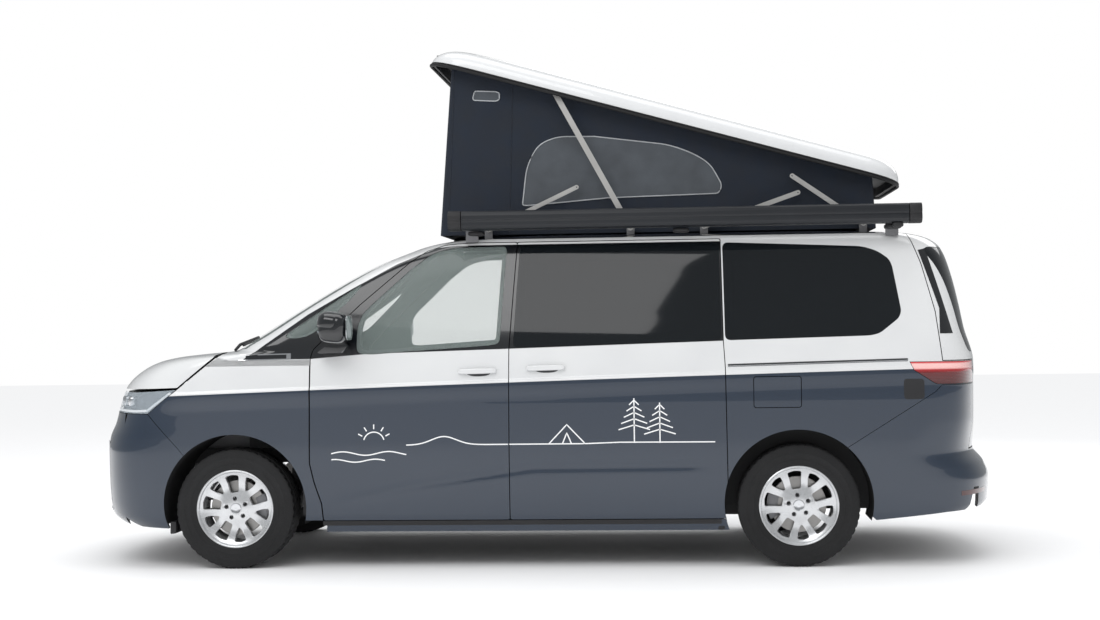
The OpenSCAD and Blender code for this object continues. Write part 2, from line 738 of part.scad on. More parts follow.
module tyre_front_left() {
    color("black") place_wheel(front_axle_x, -1) tyre();
}
module tyre_front_right() {
    color("black") place_wheel(front_axle_x, 1) tyre();
}
module tyre_rear_left() {
    color("black") place_wheel(rear_axle_x, -1) tyre();
}
module tyre_rear_right() {
    color("black") place_wheel(rear_axle_x, 1) tyre();
}
module wheel_front_left() {
    color("silver") place_wheel(front_axle_x, -1) wheel();
}
module wheel_front_right() {
    color("silver") place_wheel(front_axle_x, 1) wheel();
}
module wheel_rear_left() {
    color("silver") place_wheel(rear_axle_x, -1) wheel();
}
module wheel_rear_right() {
    color("silver") place_wheel(rear_axle_x, 1) wheel();
}

// ---- inside ------------------------------------------------------------------------------

module dashboard() {
    color("dimgray") {
        hull() {
            slot([-1279.7, -1060], [-780, 780], [1000, 1080]);
            slot([-1279.7, -1100], [-780, 780], [860, 1140]);
        }
        translate([steer_hub[0], steer_y, steer_hub[1]]) rotate([0, 62, 0])
            translate([0, 0, -160]) cylinder(r = 14, h = 142.7);
    }
}
module steering_wheel() {
    color("black") translate([steer_hub[0], steer_y, steer_hub[1]]) rotate([0, 62, 0]) {
        rotate_extrude($fn = 64) translate([180, 0]) circle(r = 15, $fn = 24);
        translate([0, 0, -17]) cylinder(r = 55, h = 34);
        for (a = [90, 270, 0]) rotate([0, 0, a]) translate([45, -14, -8]) cube([125, 28, 16]);
    }
}
module seat(x, y, w) {
    translate([x, y, 0]) {
        slot([0, 480], [-w / 2, w / 2], [640, 760]);
        translate([480, 0, 640]) rotate([0, 12, 0]) slot([0, 120], [-w / 2 + 10, w / 2 - 10], [0, 640]);
        slot([60, 440], [-w / 2 + 60, w / 2 - 60], [322.3, 639.7]);
    }
}
module front_seats() {
    color("gray") for (side = [-1, 1]) seat(-830, side * seat_y, 480);
}
module rear_bench() {
    color("gray") seat(900, 180, 940);
}
module kitchen_unit() {
    color("lightgray") slot([260, 1010], [-840, -480], [322.3, 1180]);
}

body_shell();
front_wings();
front_bumper();
grille();
headlights();
rear_bumper();
tail_lights();
windscreen();
fixed_side_glass();
sliding_doors();
sliding_door_glass();
floor_pan();
bulkhead();
hinge_posts();
lid_hinge_brackets();
dashboard();
front_seats();
rear_bench();
kitchen_unit();
awning_case();
roof_brackets();
tent_canvas();
engine();
exhaust();
front_subframe();
rear_axle();
door_left();
door_right();
door_glass_left();
door_glass_right();
mirror_left();
mirror_right();
hinges_left();
hinges_right();
bonnet();
bonnet_hinges();
tailgate();
tailgate_glass();
tailgate_hinges();
fuel_flap();
pop_roof();
front_arms();
front_struts();
rear_links();
rear_stays();
knuckle_left();
knuckle_right();
steering_wheel();
tyre_front_left();
tyre_front_right();
tyre_rear_left();
tyre_rear_right();
wheel_front_left();
wheel_front_right();
wheel_rear_left();
wheel_rear_right();
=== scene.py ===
# A camper van with its pop-up roof standing open, in a pale studio. Sizes in the tables and
# outlines are millimetres in the CAD's frame: X towards the tail, Y to the right, Z up.
import math
import bpy
import numpy as np
from mathutils import Matrix, Quaternion, Vector


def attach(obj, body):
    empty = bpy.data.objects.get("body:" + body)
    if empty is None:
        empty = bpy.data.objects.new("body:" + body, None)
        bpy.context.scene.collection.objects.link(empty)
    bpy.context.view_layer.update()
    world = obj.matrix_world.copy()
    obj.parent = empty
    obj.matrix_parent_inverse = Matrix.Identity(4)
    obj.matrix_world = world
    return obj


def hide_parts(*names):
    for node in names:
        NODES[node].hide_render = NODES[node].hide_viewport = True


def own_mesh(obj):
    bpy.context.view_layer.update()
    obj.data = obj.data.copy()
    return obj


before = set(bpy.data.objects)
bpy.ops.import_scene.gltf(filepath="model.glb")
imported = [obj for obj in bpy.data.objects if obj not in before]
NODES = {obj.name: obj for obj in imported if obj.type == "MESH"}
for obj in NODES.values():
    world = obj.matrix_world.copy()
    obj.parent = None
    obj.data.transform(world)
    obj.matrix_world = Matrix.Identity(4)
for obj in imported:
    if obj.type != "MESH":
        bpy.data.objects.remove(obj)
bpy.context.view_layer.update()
MM = 0.001
FRONT, REAR = -2586.5, 2586.5
FRONT_AXLE, REAR_AXLE = -1673.5, 1450.5
WHEEL_Y, WHEEL_Z = 828.0, 334.0
ARCH_R, ARCH_Z = 404.0, 346.0
BODY_HALF = 970.5
BODY_LOW, BODY_TOP = 200.0, 1853.0
GAP = 6.0
PAST_SIDES = 1100  # half the width of a cut that goes right across the body
# The paint line's height at X = 0, its slope and its bend.
LINE_Z, LINE_SLOPE, LINE_BEND = 1026.4, 25.4e-3, -1.81e-6


# ---- meshes ------------------------------------------------------------------------------

def new_object(name, verts, faces, material=None, smooth=True):
    mesh = bpy.data.meshes.new(name)
    mesh.from_pydata([tuple(float(c) * MM for c in v) for v in verts], [], [tuple(f) for f in faces])
    mesh.validate()
    obj = bpy.data.objects.new(name, mesh)
    bpy.context.scene.collection.objects.link(obj)
    if smooth:
        mesh.shade_smooth()
    if material is not None:
        mesh.materials.append(material)
    return obj


def soft_edges(obj, degrees=32):
    obj.data.shade_smooth()
    obj.data.set_sharp_from_angle(angle=math.radians(degrees))
    return obj


def bake(obj):
    """Turns an object's modifiers into its mesh."""
    mesh = bpy.data.meshes.new_from_object(obj.evaluated_get(bpy.context.evaluated_depsgraph_get()))
    obj.modifiers.clear()
    old = obj.data
    obj.data = mesh
    bpy.data.meshes.remove(old)
    return obj


def boolean(obj, tool, operation="DIFFERENCE", keep=False):
    mod = obj.modifiers.new("cut", "BOOLEAN")
    mod.operation = operation
    mod.object = tool
    mod.solver = "MANIFOLD"
    bake(obj)
    if not keep:
        drop(tool)
    return obj


def drop(obj):
    mesh = obj.data
    bpy.data.objects.remove(obj)
    bpy.data.meshes.remove(mesh)


def copy_of(obj, name):
    new = obj.copy()
    new.data = obj.data.copy()
    new.name = name
    new.data.name = name
    bpy.context.scene.collection.objects.link(new)
    return new


def join(objs):
    """One object that holds the meshes of several."""
    verts, faces = [], []
    for obj in objs:
        base = len(verts)
        verts += [v.co / MM for v in obj.data.vertices]
        faces += [[base + i for i in p.vertices] for p in obj.data.polygons]
        drop(obj)
    return new_object("tool", verts, faces, smooth=False)


def bevel(obj, width, segments=2, angle=35):
    mod = obj.modifiers.new("bevel", "BEVEL")
    mod.width = width * MM
    mod.segments = segments
    mod.limit_method = "ANGLE"
    mod.angle_limit = math.radians(angle)
    mod.harden_normals = False
    return bake(obj)


# ---- outlines ----------------------------------------------------------------------------

def grow(points, d):
    """An outline with each side moved out by d."""
    p = np.array(points, float)
    area = np.sum(p[:, 0] * np.roll(p[:, 1], -1) - np.roll(p[:, 0], -1) * p[:, 1])
    sign = 1 if area > 0 else -1
    e = np.roll(p, -1, axis=0) - p
    e /= np.linalg.norm(e, axis=1)[:, None]
    n = np.stack([e[:, 1], -e[:, 0]], axis=1) * sign
    before = np.roll(n, 1, axis=0)
    m = before + n
    m /= np.maximum(np.sum(m * n, axis=1), 0.35)[:, None]
    return p + m * d


def fillet(points, r, steps=5, soft=False):
    """An outline with its corners rounded; soft runs its blunt corners into one curve."""
    p = np.array(points, float)
    out = []
    for i in range(len(p)):
        a, b, c = p[i - 1], p[i], p[(i + 1) % len(p)]
        u, v = a - b, c - b
        lu, lv = np.linalg.norm(u), np.linalg.norm(v)
        u, v = u / lu, v / lv
        turn = math.acos(float(np.clip(np.dot(u, v), -1, 1)))
        if turn > math.radians(172):
            out.append(b)
            continue
        t = min(r / math.tan(turn / 2), 0.45 * lu, 0.45 * lv)
        if soft and turn > math.radians(120):
            t = 0.47 * min(lu, lv)
        for k in range(steps + 1):
            s = k / steps
            out.append(b + u * t * (1 - s) ** 2 + v * t * s ** 2)
    return np.array(out)


def prism(points, low, high, axis="y"):
    """An outline in (x, z), (x, y) or (y, z) drawn out along the third axis."""
    p = np.array(points, float)
    n = len(p)
    place = {"y": lambda a, b, h: (a, h, b), "z": lambda a, b, h: (a, b, h), "x": lambda a, b, h: (h, a, b)}[axis]
    verts = [place(a, b, low) for a, b in p] + [place(a, b, high) for a, b in p]
    area = np.sum(p[:, 0] * np.roll(p[:, 1], -1) - np.roll(p[:, 0], -1) * p[:, 1])
    faces = [list(range(n))[::-1], list(range(n, 2 * n))]
    faces += [[i, (i + 1) % n, n + (i + 1) % n, n + i] for i in range(n)]
    if (area > 0) == (axis == "y"):
        faces = [f[::-1] for f in faces]
    return new_object("tool", verts, faces, smooth=False)


def through(points, inner=0.0, sides=(-1, 1)):
    """The outline right across the van, or only further out than inner."""
    if inner == 0 and len(sides) == 2:
        return prism(points, -PAST_SIDES, PAST_SIDES)
    parts = [prism(points, *sorted((s * inner, s * PAST_SIDES))) for s in sides]
    return parts[0] if len(parts) == 1 else join(parts)


def block(x, y, z):
    return prism([(x[0], z[0]), (x[1], z[0]), (x[1], z[1]), (x[0], z[1])], y[0], y[1])


def disc_tool(x, z, r, y0, y1, n=120):
    a = np.linspace(0, 2 * math.pi, n, endpoint=False)
    return prism(np.stack([x + r * np.cos(a), z + r * np.sin(a)], axis=1), y0, y1)


# ---- body surface ------------------------------------------------------------------------

def smooth_table(rows):
    """A smooth curve through rows of (key, value)."""
    k, v = np.array(rows, float).T
    h = np.diff(k)
    c = np.diff(v) / h
    m = np.concatenate([[c[0]], np.zeros(len(k) - 2), [c[-1]]])
    both = c[:-1] * c[1:]
    total = np.where(c[:-1] + c[1:] == 0, 1, c[:-1] + c[1:])
    m[1:-1] = np.where(both > 0, 2 * both / total, 0)

    def at(x):
        x = np.clip(np.asarray(x, float), k[0], k[-1])
        i = np.clip(np.searchsorted(k, x, side="right") - 1, 0, len(k) - 2)
        u = (x - k[i]) / h[i]
        return (v[i] * (1 + 2 * u) * (1 - u) ** 2 + h[i] * m[i] * u * (1 - u) ** 2
                + v[i + 1] * u ** 2 * (3 - 2 * u) + h[i] * m[i + 1] * u ** 2 * (u - 1))
    return at


# How far the nose and the tail lie in from the ends, by height.
nose = smooth_table([(200, 190), (235, 80), (290, 22), (370, 4), (500, 0), (640, 0), (720, 14), (800, 48),
                     (900, 76), (1000, 112), (1050, 150), (1110, 230), (1150, 318), (1175, 430), (1192, 590),
                     (1202, 720), (1214, 800), (1250, 868), (1444, 1181), (1595, 1435), (1700, 1640),
                     (1760, 1790), (1800, 1900), (1828, 2040), (1846, 2300), (1852, 2700)])
tail = smooth_table([(200, 260), (235, 120), (283, 45), (330, 8), (450, 0), (530, 28), (620, 92), (730, 90),
                     (1105, 92), (1294, 140), (1424, 165), (1600, 205), (1745, 256), (1790, 300),
                     (1825, 400), (1842, 700), (1852, 1500)])
# Half width as a share of the greatest, by height.
side_share = smooth_table([(200, .93), (300, .968), (500, .992), (700, 1), (900, 1), (1050, .993),
                           (1200, .973), (1400, .922), (1600, .862), (1740, .812), (1790, .785),
                           (1820, .755), (1838, .7), (1850, .57), (1853, .4)])
# Length of the rounding from the side into the nose and the tail, by height.
front_round = smooth_table([(200, 700), (1000, 720), (1150, 640), (1250, 380), (1700, 340), (1760, 420),
                            (1853, 600)])
rear_round = smooth_table([(200, 620), (600, 560), (800, 420), (1200, 380), (1700, 330), (1853, 500)])


def paint_line(x):
    """Height of the line between the two paints."""
    return LINE_Z + LINE_SLOPE * x + LINE_BEND * x * x


def crease(x, z):
    """The ledge just above the paint line, in millimetres of stand-out."""
    d = z - paint_line(x) - 4
    rise = np.clip(1 + d / 110, 0, 1)
    drop_off = np.clip(1 - d / 20, 0, 1)
    ledge = np.where(d < 0, rise * rise * (3 - 2 * rise), drop_off * drop_off * (3 - 2 * drop_off))
    low = z - np.interp(x, [-1150, -700, 0, 1000, 2100], [350, 452, 556, 560, 600])
    fold = np.exp(-(low / 30) ** 2) * np.clip((x + 1150) / 200, 0, 1) * np.clip((1050 - x) / 200, 0, 1)
    return 7 * ledge * np.clip((x + 2150) / 120, 0, 1) - 4 * fold


def width_squared(x, z):
    """Half width squared: smooth right to the tips, and below nothing beyond them."""
    a = 1 - (1 - np.minimum((x - FRONT - nose(z)) / front_round(z), 1)) ** 4
    b = 1 - (1 - np.minimum((REAR - tail(z) - x) / rear_round(z), 1)) ** 4
    full = BODY_HALF * side_share(z) - 7 + crease(x, z)
    return full * full * np.minimum(a, b) * np.maximum(np.maximum(a, b), 0.0)


def half_width(x, z):
    return np.sqrt(np.maximum(width_squared(np.asarray(x, float), np.asarray(z, float)), 0))


def body_field(p):
    return p[:, 1] ** 2 - width_squared(p[:, 0], p[:, 2])


def body_gradient(p, step=0.4):
    q = p.copy()
    q[:, 2] = np.clip(q[:, 2], BODY_LOW + step, BODY_TOP - step)
    g = np.empty_like(q)
    for k in range(3):
        d = np.zeros(3)
        d[k] = step
        g[:, k] = (body_field(q + d) - body_field(q - d)) / (2 * step)
    return g


def front_x(y, z):
    """Where the nose lies at a height and a distance from the middle."""
    lo = np.full(np.shape(z), FRONT) + nose(z)
    hi = lo + front_round(z)
    for _ in range(24):
        mid = (lo + hi) / 2
        wide = half_width(mid, z) > np.abs(y)
        hi = np.where(wide, mid, hi)
        lo = np.where(wide, lo, mid)
    return (lo + hi) / 2


def rear_x(y, z):
    hi = np.full(np.shape(z), REAR) - tail(z)
    lo = hi - rear_round(z)
    for _ in range(24):
        mid = (lo + hi) / 2
        wide = half_width(mid, z) > np.abs(y)
        lo = np.where(wide, mid, lo)
        hi = np.where(wide, hi, mid)
    return (lo + hi) / 2


LEVELS = np.concatenate([
    np.arange(200, 330, 9.0), np.arange(330, 940, 15.0), np.arange(940, 1110, 3.5),
    np.arange(1110, 1256, 1.7), np.arange(1256, 1760, 12.0), np.arange(1760, 1853, 1.5), [BODY_TOP]])


def body_volume(t):
    """The closed body, with its surface moved in by t (out where t is below nothing)."""
    u = np.linspace(0, 1, 30)
    heights = LEVELS if t <= 0 else np.concatenate([[140.0], LEVELS[LEVELS < BODY_TOP - t]])
    rows = []
    for z in heights:
        zz = min(max(z + max(t, 0), BODY_LOW), BODY_TOP - 0.01)
        x0 = FRONT + float(nose(zz)) + t
        x1 = REAR - float(tail(zz)) - t
        mid = (x0 + x1) / 2
        a = min(x0 + float(front_round(zz)), mid - 20)
        b = max(x1 - float(rear_round(zz)), mid + 20)
        xs = np.concatenate([x0 + (a - x0) * u ** 2, np.linspace(a, b, 70)[1:-1], x1 - (x1 - b) * u[::-1] ** 2])
        # the same share of the way in from each tip as on the outer surface
        w = half_width(np.clip(xs, x0 + 0.001, x1 - 0.001) - t * np.clip((mid - xs) / (mid - x0), -1, 1),
                       np.full(len(xs), zz)) - t
        w = np.maximum(w, 0.6)
        w[0] = w[-1] = 0
        rows.append((xs, w, z))
    m = len(rows[0][0])
    loop = 2 * m - 2
    verts, faces = [], []
    for xs, w, z in rows:
        verts += [(xs[i], -w[i], z) for i in range(m)]
        verts += [(xs[i], w[i], z) for i in range(m - 2, 0, -1)]
    for r in range(len(rows) - 1):
        for i in range(loop):
            j = (i + 1) % loop
            faces.append((r * loop + i, r * loop + j, (r + 1) * loop + j, (r + 1) * loop + i))
    faces.append(tuple(range(loop))[::-1])
    faces.append(tuple(range((len(rows) - 1) * loop, len(rows) * loop)))
    return new_object("volume", verts, faces, smooth=False)


def body_normals(obj, degrees=32, reach=1.4):
    """Gives the outer surface the true normals of the body, and leaves the cut edges sharp."""
    soft_edges(obj, degrees)
    mesh = obj.data
    n_v, n_l, n_p = len(mesh.vertices), len(mesh.loops), len(mesh.polygons)
    co = np.empty(n_v * 3)
    mesh.vertices.foreach_get("co", co)
    co = co.reshape(-1, 3) / MM
    g = body_gradient(co)
    size = np.linalg.norm(g, axis=1)
    near = np.abs(body_field(co)) / np.maximum(size, 1e-6) < reach
    normal = g / np.maximum(size, 1e-6)[:, None]
    vert = np.empty(n_l, int)
    mesh.loops.foreach_get("vertex_index", vert)
    starts, totals = np.empty(n_p, int), np.empty(n_p, int)
    mesh.polygons.foreach_get("loop_start", starts)
    mesh.polygons.foreach_get("loop_total", totals)
    face_n = np.empty(n_p * 3)
    mesh.polygons.foreach_get("normal", face_n)
    face_n = face_n.reshape(-1, 3)
    face_of = np.repeat(np.arange(n_p), totals)
    outer = np.logical_and.reduceat(near[vert], starts)
    own = np.empty(n_l * 3)
    mesh.corner_normals.foreach_get("vector", own)
    own = own.reshape(-1, 3)
    use = outer[face_of] & (np.einsum("ij,ij->i", normal[vert], face_n[face_of]) > 0.86)
    own[use] = normal[vert][use]
    mesh.normals_split_custom_set(own.tolist())
    return obj


# ---- materials ---------------------------------------------------------------------------

def nodes_of(name):
    mat = bpy.data.materials.new(name)
    mat.use_nodes = True
    tree = mat.node_tree
    return mat, tree, tree.nodes["Principled BSDF"]


def set_inputs(node, values):
    for key, value in values.items():
        node.inputs[key].default_value = value


def link(tree, a, b):
    tree.links.new(a, b)


def coordinates(tree, scale=1.0):
    tex = tree.nodes.new("ShaderNodeTexCoord")
    mapping = tree.nodes.new("ShaderNodeMapping")
    mapping.inputs["Scale"].default_value = (scale, scale, scale) if np.isscalar(scale) else scale
    link(tree, tex.outputs["Object"], mapping.inputs["Vector"])
    return mapping.outputs["Vector"]


def noise(tree, scale, detail=3.0, stretch=1.0):
    node = tree.nodes.new("ShaderNodeTexNoise")
    set_inputs(node, {"Scale": scale, "Detail": detail})
    link(tree, coordinates(tree, stretch), node.inputs["Vector"])
    return node.outputs["Fac"]


def spread(tree, value, low, high):
    """Maps a noise value of about 0.3 to 0.7 on to the range low to high."""
    node = tree.nodes.new("ShaderNodeMapRange")
    set_inputs(node, {"From Min": 0.3, "From Max": 0.7, "To Min": low, "To Max": high})
    link(tree, value, node.inputs["Value"])
    return node.outputs["Result"]


def blend_colours(tree, factor, a, b):
    node = tree.nodes.new("ShaderNodeMix")
    node.data_type = "RGBA"
    for key, value in (("A", a), ("B", b)):
        socket = [s for s in node.inputs if s.name == key and s.type == "RGBA"][0]
        if isinstance(value, bpy.types.NodeSocket):
            link(tree, value, socket)
        else:
            socket.default_value = (*value, 1)
    link(tree, factor, node.inputs["Factor"])
    return [s for s in node.outputs if s.type == "RGBA"][0]


def bumps(tree, shader, height, strength, distance=0.001):
    node = tree.nodes.new("ShaderNodeBump")
    set_inputs(node, {"Strength": strength, "Distance": distance})
    link(tree, height, node.inputs["Height"])
    link(tree, node.outputs["Normal"], shader.inputs["Normal"])


def finish_of(name, colour, rough=0.4, metal=0.0, coat=0.0, alpha=1.0, grain=400.0, relief=0.15, vary=0.08,
              stretch=1.0, sheen=0.0, ior=1.5):
    """A plain finish with colour mottling, uneven gloss and a fine grain."""
    mat, tree, shader = nodes_of(name)
    coarse = noise(tree, 7.0, 4.0, stretch)
    shade = blend_colours(tree, spread(tree, coarse, 0, 1), tuple(c * (1 - vary) for c in colour),
                          tuple(min(c * (1 + vary), 1) for c in colour))
    link(tree, shade, shader.inputs["Base Color"])
    fine = noise(tree, grain, 2.0, stretch)
    link(tree, spread(tree, fine, max(rough * 0.88, 0.0), min(rough * 1.14, 1.0)), shader.inputs["Roughness"])
    set_inputs(shader, {"Metallic": metal, "Coat Weight": coat, "Coat Roughness": 0.04, "Alpha": alpha,
                        "IOR": ior, "Sheen Weight": sheen})
    bumps(tree, shader, fine, relief, 0.0004)
    return mat


def body_paint():
    """White above the line and dark blue-grey below it, under a clear coat with flake and orange peel."""
    mat, tree, shader = nodes_of("body_paint")
    tex = tree.nodes.new("ShaderNodeTexCoord")
    split = tree.nodes.new("ShaderNodeSeparateXYZ")
    link(tree, tex.outputs["Object"], split.inputs["Vector"])

    def maths(operation, a, b):
        node = tree.nodes.new("ShaderNodeMath")
        node.operation = operation
        for socket, value in zip(node.inputs, (a, b)):
            if isinstance(value, bpy.types.NodeSocket):
                link(tree, value, socket)
            else:
                socket.default_value = value
        return node.outputs["Value"]
    x, z = split.outputs["X"], split.outputs["Z"]
    bend = maths("MULTIPLY", maths("MULTIPLY", x, x), LINE_BEND / MM)
    line = maths("ADD", maths("ADD", maths("MULTIPLY", x, LINE_SLOPE), bend), LINE_Z * MM)
    above = maths("MULTIPLY", maths("SUBTRACT", z, line), 900.0)
    mask = tree.nodes.new("ShaderNodeClamp")
    link(tree, above, mask.inputs["Value"])
    flake = noise(tree, 1400.0, 1.0)
    haze = noise(tree, 3.0, 2.0)
    blue = blend_colours(tree, spread(tree, flake, 0, 1), (0.0065, 0.0165, 0.036), (0.0125, 0.027, 0.052))
    white = blend_colours(tree, spread(tree, haze, 0, 1), (0.66, 0.67, 0.68), (0.70, 0.71, 0.715))
    link(tree, blend_colours(tree, mask.outputs["Result"], blue, white), shader.inputs["Base Color"])
    link(tree, spread(tree, haze, 0.30, 0.36), shader.inputs["Roughness"])
    set_inputs(shader, {"Coat Weight": 1.0, "Coat Roughness": 0.03})
    bumps(tree, shader, noise(tree, 260.0, 1.0), 0.03, 0.0003)
    return mat


def cloth(name, colour, threads=900.0, relief=0.5, alpha=1.0):
    """Woven cloth: two crossed thread waves over mottled colour."""
    mat, tree, shader = nodes_of(name)
    vector = coordinates(tree)
    waves = []
    for direction in ("X", "Z"):
        wave = tree.nodes.new("ShaderNodeTexWave")
        wave.bands_direction = direction
        set_inputs(wave, {"Scale": threads / 6.0, "Distortion": 0.6})
        link(tree, vector, wave.inputs["Vector"])
        waves.append(wave.outputs["Fac"])
    weave = tree.nodes.new("ShaderNodeMath")
    weave.operation = "MAXIMUM"
    link(tree, waves[0], weave.inputs[0])
    link(tree, waves[1], weave.inputs[1])
    patches = noise(tree, 9.0, 5.0)
    shade = blend_colours(tree, spread(tree, patches, 0, 1), tuple(c * 0.8 for c in colour),
                          tuple(min(c * 1.25, 1) for c in colour))
    darker = blend_colours(tree, weave.outputs["Value"], tuple(c * 0.7 for c in colour), shade)
    link(tree, darker, shader.inputs["Base Color"])
    link(tree, spread(tree, patches, 0.8, 0.92), shader.inputs["Roughness"])
    set_inputs(shader, {"Sheen Weight": 0.25, "Alpha": alpha})
    bumps(tree, shader, weave.outputs["Value"], relief, 0.0005)
    return mat


def tail_lamp():
    mat, tree, shader = nodes_of("tail_lamp_red")
    tex = tree.nodes.new("ShaderNodeTexCoord")
    split = tree.nodes.new("ShaderNodeSeparateXYZ")
    link(tree, tex.outputs["Object"], split.inputs["Vector"])
    ramp = tree.nodes.new("ShaderNodeValToRGB")
    scaled = tree.nodes.new("ShaderNodeMapRange")
    set_inputs(scaled, {"From Min": 0.98, "From Max": 1.12})
    link(tree, split.outputs["Z"], scaled.inputs["Value"])
    link(tree, scaled.outputs["Result"], ramp.inputs["Fac"])
    stops = ramp.color_ramp.elements
    stops[0].color = (0.05, 0.001, 0.002, 1)
    stops[1].color = (0.85, 0.28, 0.27, 1)
    for place, colour in ((0.50, (0.11, 0.002, 0.004, 1)), (0.62, (0.40, 0.012, 0.016, 1)),
                          (0.68, (0.9, 0.5, 0.48, 1)), (0.84, (0.92, 0.56, 0.54, 1)), (0.9, (0.6, 0.02, 0.03, 1))):
        stop = stops.new(place)
        stop.color = colour
    link(tree, ramp.outputs["Color"], shader.inputs["Base Color"])
    ribs = tree.nodes.new("ShaderNodeTexWave")
    ribs.bands_direction = "Z"
    ribs.inputs["Scale"].default_value = 40.0
    link(tree, coordinates(tree), ribs.inputs["Vector"])
    bumps(tree, shader, ribs.outputs["Fac"], 0.25, 0.001)
    set_inputs(shader, {"Roughness": 0.12, "Coat Weight": 1.0})
    return mat


PAINT = body_paint()
GLOSS_BLACK = finish_of("gloss_black", (0.006, 0.007, 0.009), 0.14, coat=1.0, relief=0.02)
BLACK = finish_of("black_plastic", (0.016, 0.016, 0.018), 0.55, grain=700, relief=0.5)
LINER = finish_of("wheel_liner", (0.008, 0.008, 0.009), 0.85, grain=350, relief=0.7)
CHASSIS = finish_of("chassis_black", (0.02, 0.02, 0.022), 0.6, grain=250, relief=0.4)
CHROME = finish_of("satin_chrome", (0.72, 0.73, 0.75), 0.16, metal=1.0, relief=0.04)
ALLOY = finish_of("alloy_silver", (0.72, 0.73, 0.745), 0.27, metal=0.75, coat=0.6, grain=900, relief=0.08, vary=0.04)
ALUMINIUM = finish_of("anodised_bar", (0.62, 0.61, 0.59), 0.34, metal=0.85, grain=500, relief=0.2, stretch=(1, 8, 1))
STEEL = finish_of("brushed_steel", (0.42, 0.42, 0.43), 0.36, metal=1.0, grain=500, relief=0.3)
CAST = finish_of("cast_metal", (0.30, 0.30, 0.31), 0.55, metal=0.9, grain=160, relief=0.8)
RUBBER = finish_of("tyre_rubber", (0.009, 0.009, 0.010), 0.72, grain=300, relief=0.5, vary=0.2)
SEAL = finish_of("rubber_seal", (0.008, 0.008, 0.009), 0.7, grain=500, relief=0.3)
ANTHRACITE = finish_of("anthracite_coat", (0.011, 0.013, 0.017), 0.42, grain=1200, relief=0.35, vary=0.06)
PRIVACY = finish_of("privacy_glass", (0.006, 0.008, 0.010), 0.04, alpha=0.9, relief=0.0, vary=0.02)
CLEAR = finish_of("clear_glass", (0.46, 0.55, 0.53), 0.03, alpha=0.17, relief=0.0, vary=0.02)
LENS = finish_of("lamp_lens", (0.55, 0.62, 0.68), 0.03, alpha=0.28, relief=0.0, vary=0.02)
MIRROR_FACE = finish_of("mirror_face", (0.8, 0.82, 0.84), 0.02, metal=1.0, relief=0.0, vary=0.01)
CAR_CLOTH = cloth("seat_cloth", (0.055, 0.056, 0.062), 1100.0)
CANVAS = cloth("tent_canvas_cloth", (0.0085, 0.0145, 0.027), 1300.0, 0.35)
MESH_GREY = cloth("window_mesh", (0.075, 0.085, 0.098), 2600.0, 0.6)
PIPING = cloth("piping_grey", (0.42, 0.44, 0.46), 1500.0)
LAMINATE = finish_of("pale_laminate", (0.50, 0.48, 0.44), 0.4, grain=90, relief=0.1, stretch=(1, 1, 14))
WHITE_LINE = finish_of("white_film", (0.86, 0.87, 0.88), 0.35, relief=0.05, vary=0.01)
RED = tail_lamp()
# dark film for the door rail line, and painted shade for the recesses under the door handles
DARK_FILM_AND_SHADE = finish_of("dark_film_and_painted_shade", (0.03, 0.032, 0.036), 0.4, relief=0.05)


# ---- small builders ----------------------------------------------------------------------

def tube(name, points, radius, material, closed=False, n=12, flat=1.0):
    """A round bar along a path; flat squeezes it in Z."""
    p = [Vector(q) for q in points]
    verts, faces = [], []
    count = len(p)
    for i in range(count):
        a = p[i - 1] if (i > 0 or closed) else p[i]
        b = p[(i + 1) % count] if (i < count - 1 or closed) else p[i]
        t = (b - a).normalized()
        u = t.cross(Vector((0, 0, 1))) if abs(t.z) < 0.9 else t.cross(Vector((1, 0, 0)))
        u.normalize()
        v = u.cross(t)
        for k in range(n):
            a_k = 2 * math.pi * k / n
            verts.append(p[i] + u * math.cos(a_k) * radius + v * math.sin(a_k) * radius * flat)
    last = count if closed else count - 1
    for i in range(last):
        j = (i + 1) % count
        faces += [(i * n + k, i * n + (k + 1) % n, j * n + (k + 1) % n, j * n + k) for k in range(n)]
    if not closed:
        faces.append(tuple(range(n))[::-1])
        faces.append(tuple(range((count - 1) * n, count * n)))
    return soft_edges(new_object(name, verts, faces, material), 50)


def puff(name, centre, size, material, power=3.0, n=28, tilt=0.0, swell=0.0):
    """A rounded block, crowned like a filled cushion where swell is above nothing."""
    verts, faces = [], []
    for i in range(n + 1):
        lat = math.pi * i / n - math.pi / 2
        for k in range(2 * n):
            lon = math.pi * k / n
            d = np.array([math.cos(lat) * math.cos(lon), math.cos(lat) * math.sin(lon), math.sin(lat)])
            q = d / (np.sum(np.abs(d) ** power) ** (1 / power))
            q[2] *= 1 + swell * (1 - q[0] ** 2) * (1 - q[1] ** 2)
            q *= np.array(size) / 2
            x = q[0] * math.cos(tilt) + q[2] * math.sin(tilt)
            z = -q[0] * math.sin(tilt) + q[2] * math.cos(tilt)
            verts.append((centre[0] + x, centre[1] + q[1], centre[2] + z))
    for i in range(n):
        for k in range(2 * n):
            j = (k + 1) % (2 * n)
            faces.append((i * 2 * n + k, i * 2 * n + j, (i + 1) * 2 * n + j, (i + 1) * 2 * n + k))
    obj = new_object(name, verts, faces, material)
    return obj


def resample(points, step):
    out = []
    for a, b in zip(points[:-1], points[1:]):
        a, b = np.array(a, float), np.array(b, float)
        n = max(1, int(np.linalg.norm(b - a) / step))
        out += [a + (b - a) * k / n for k in range(n)]
    return out + [np.array(points[-1], float)]


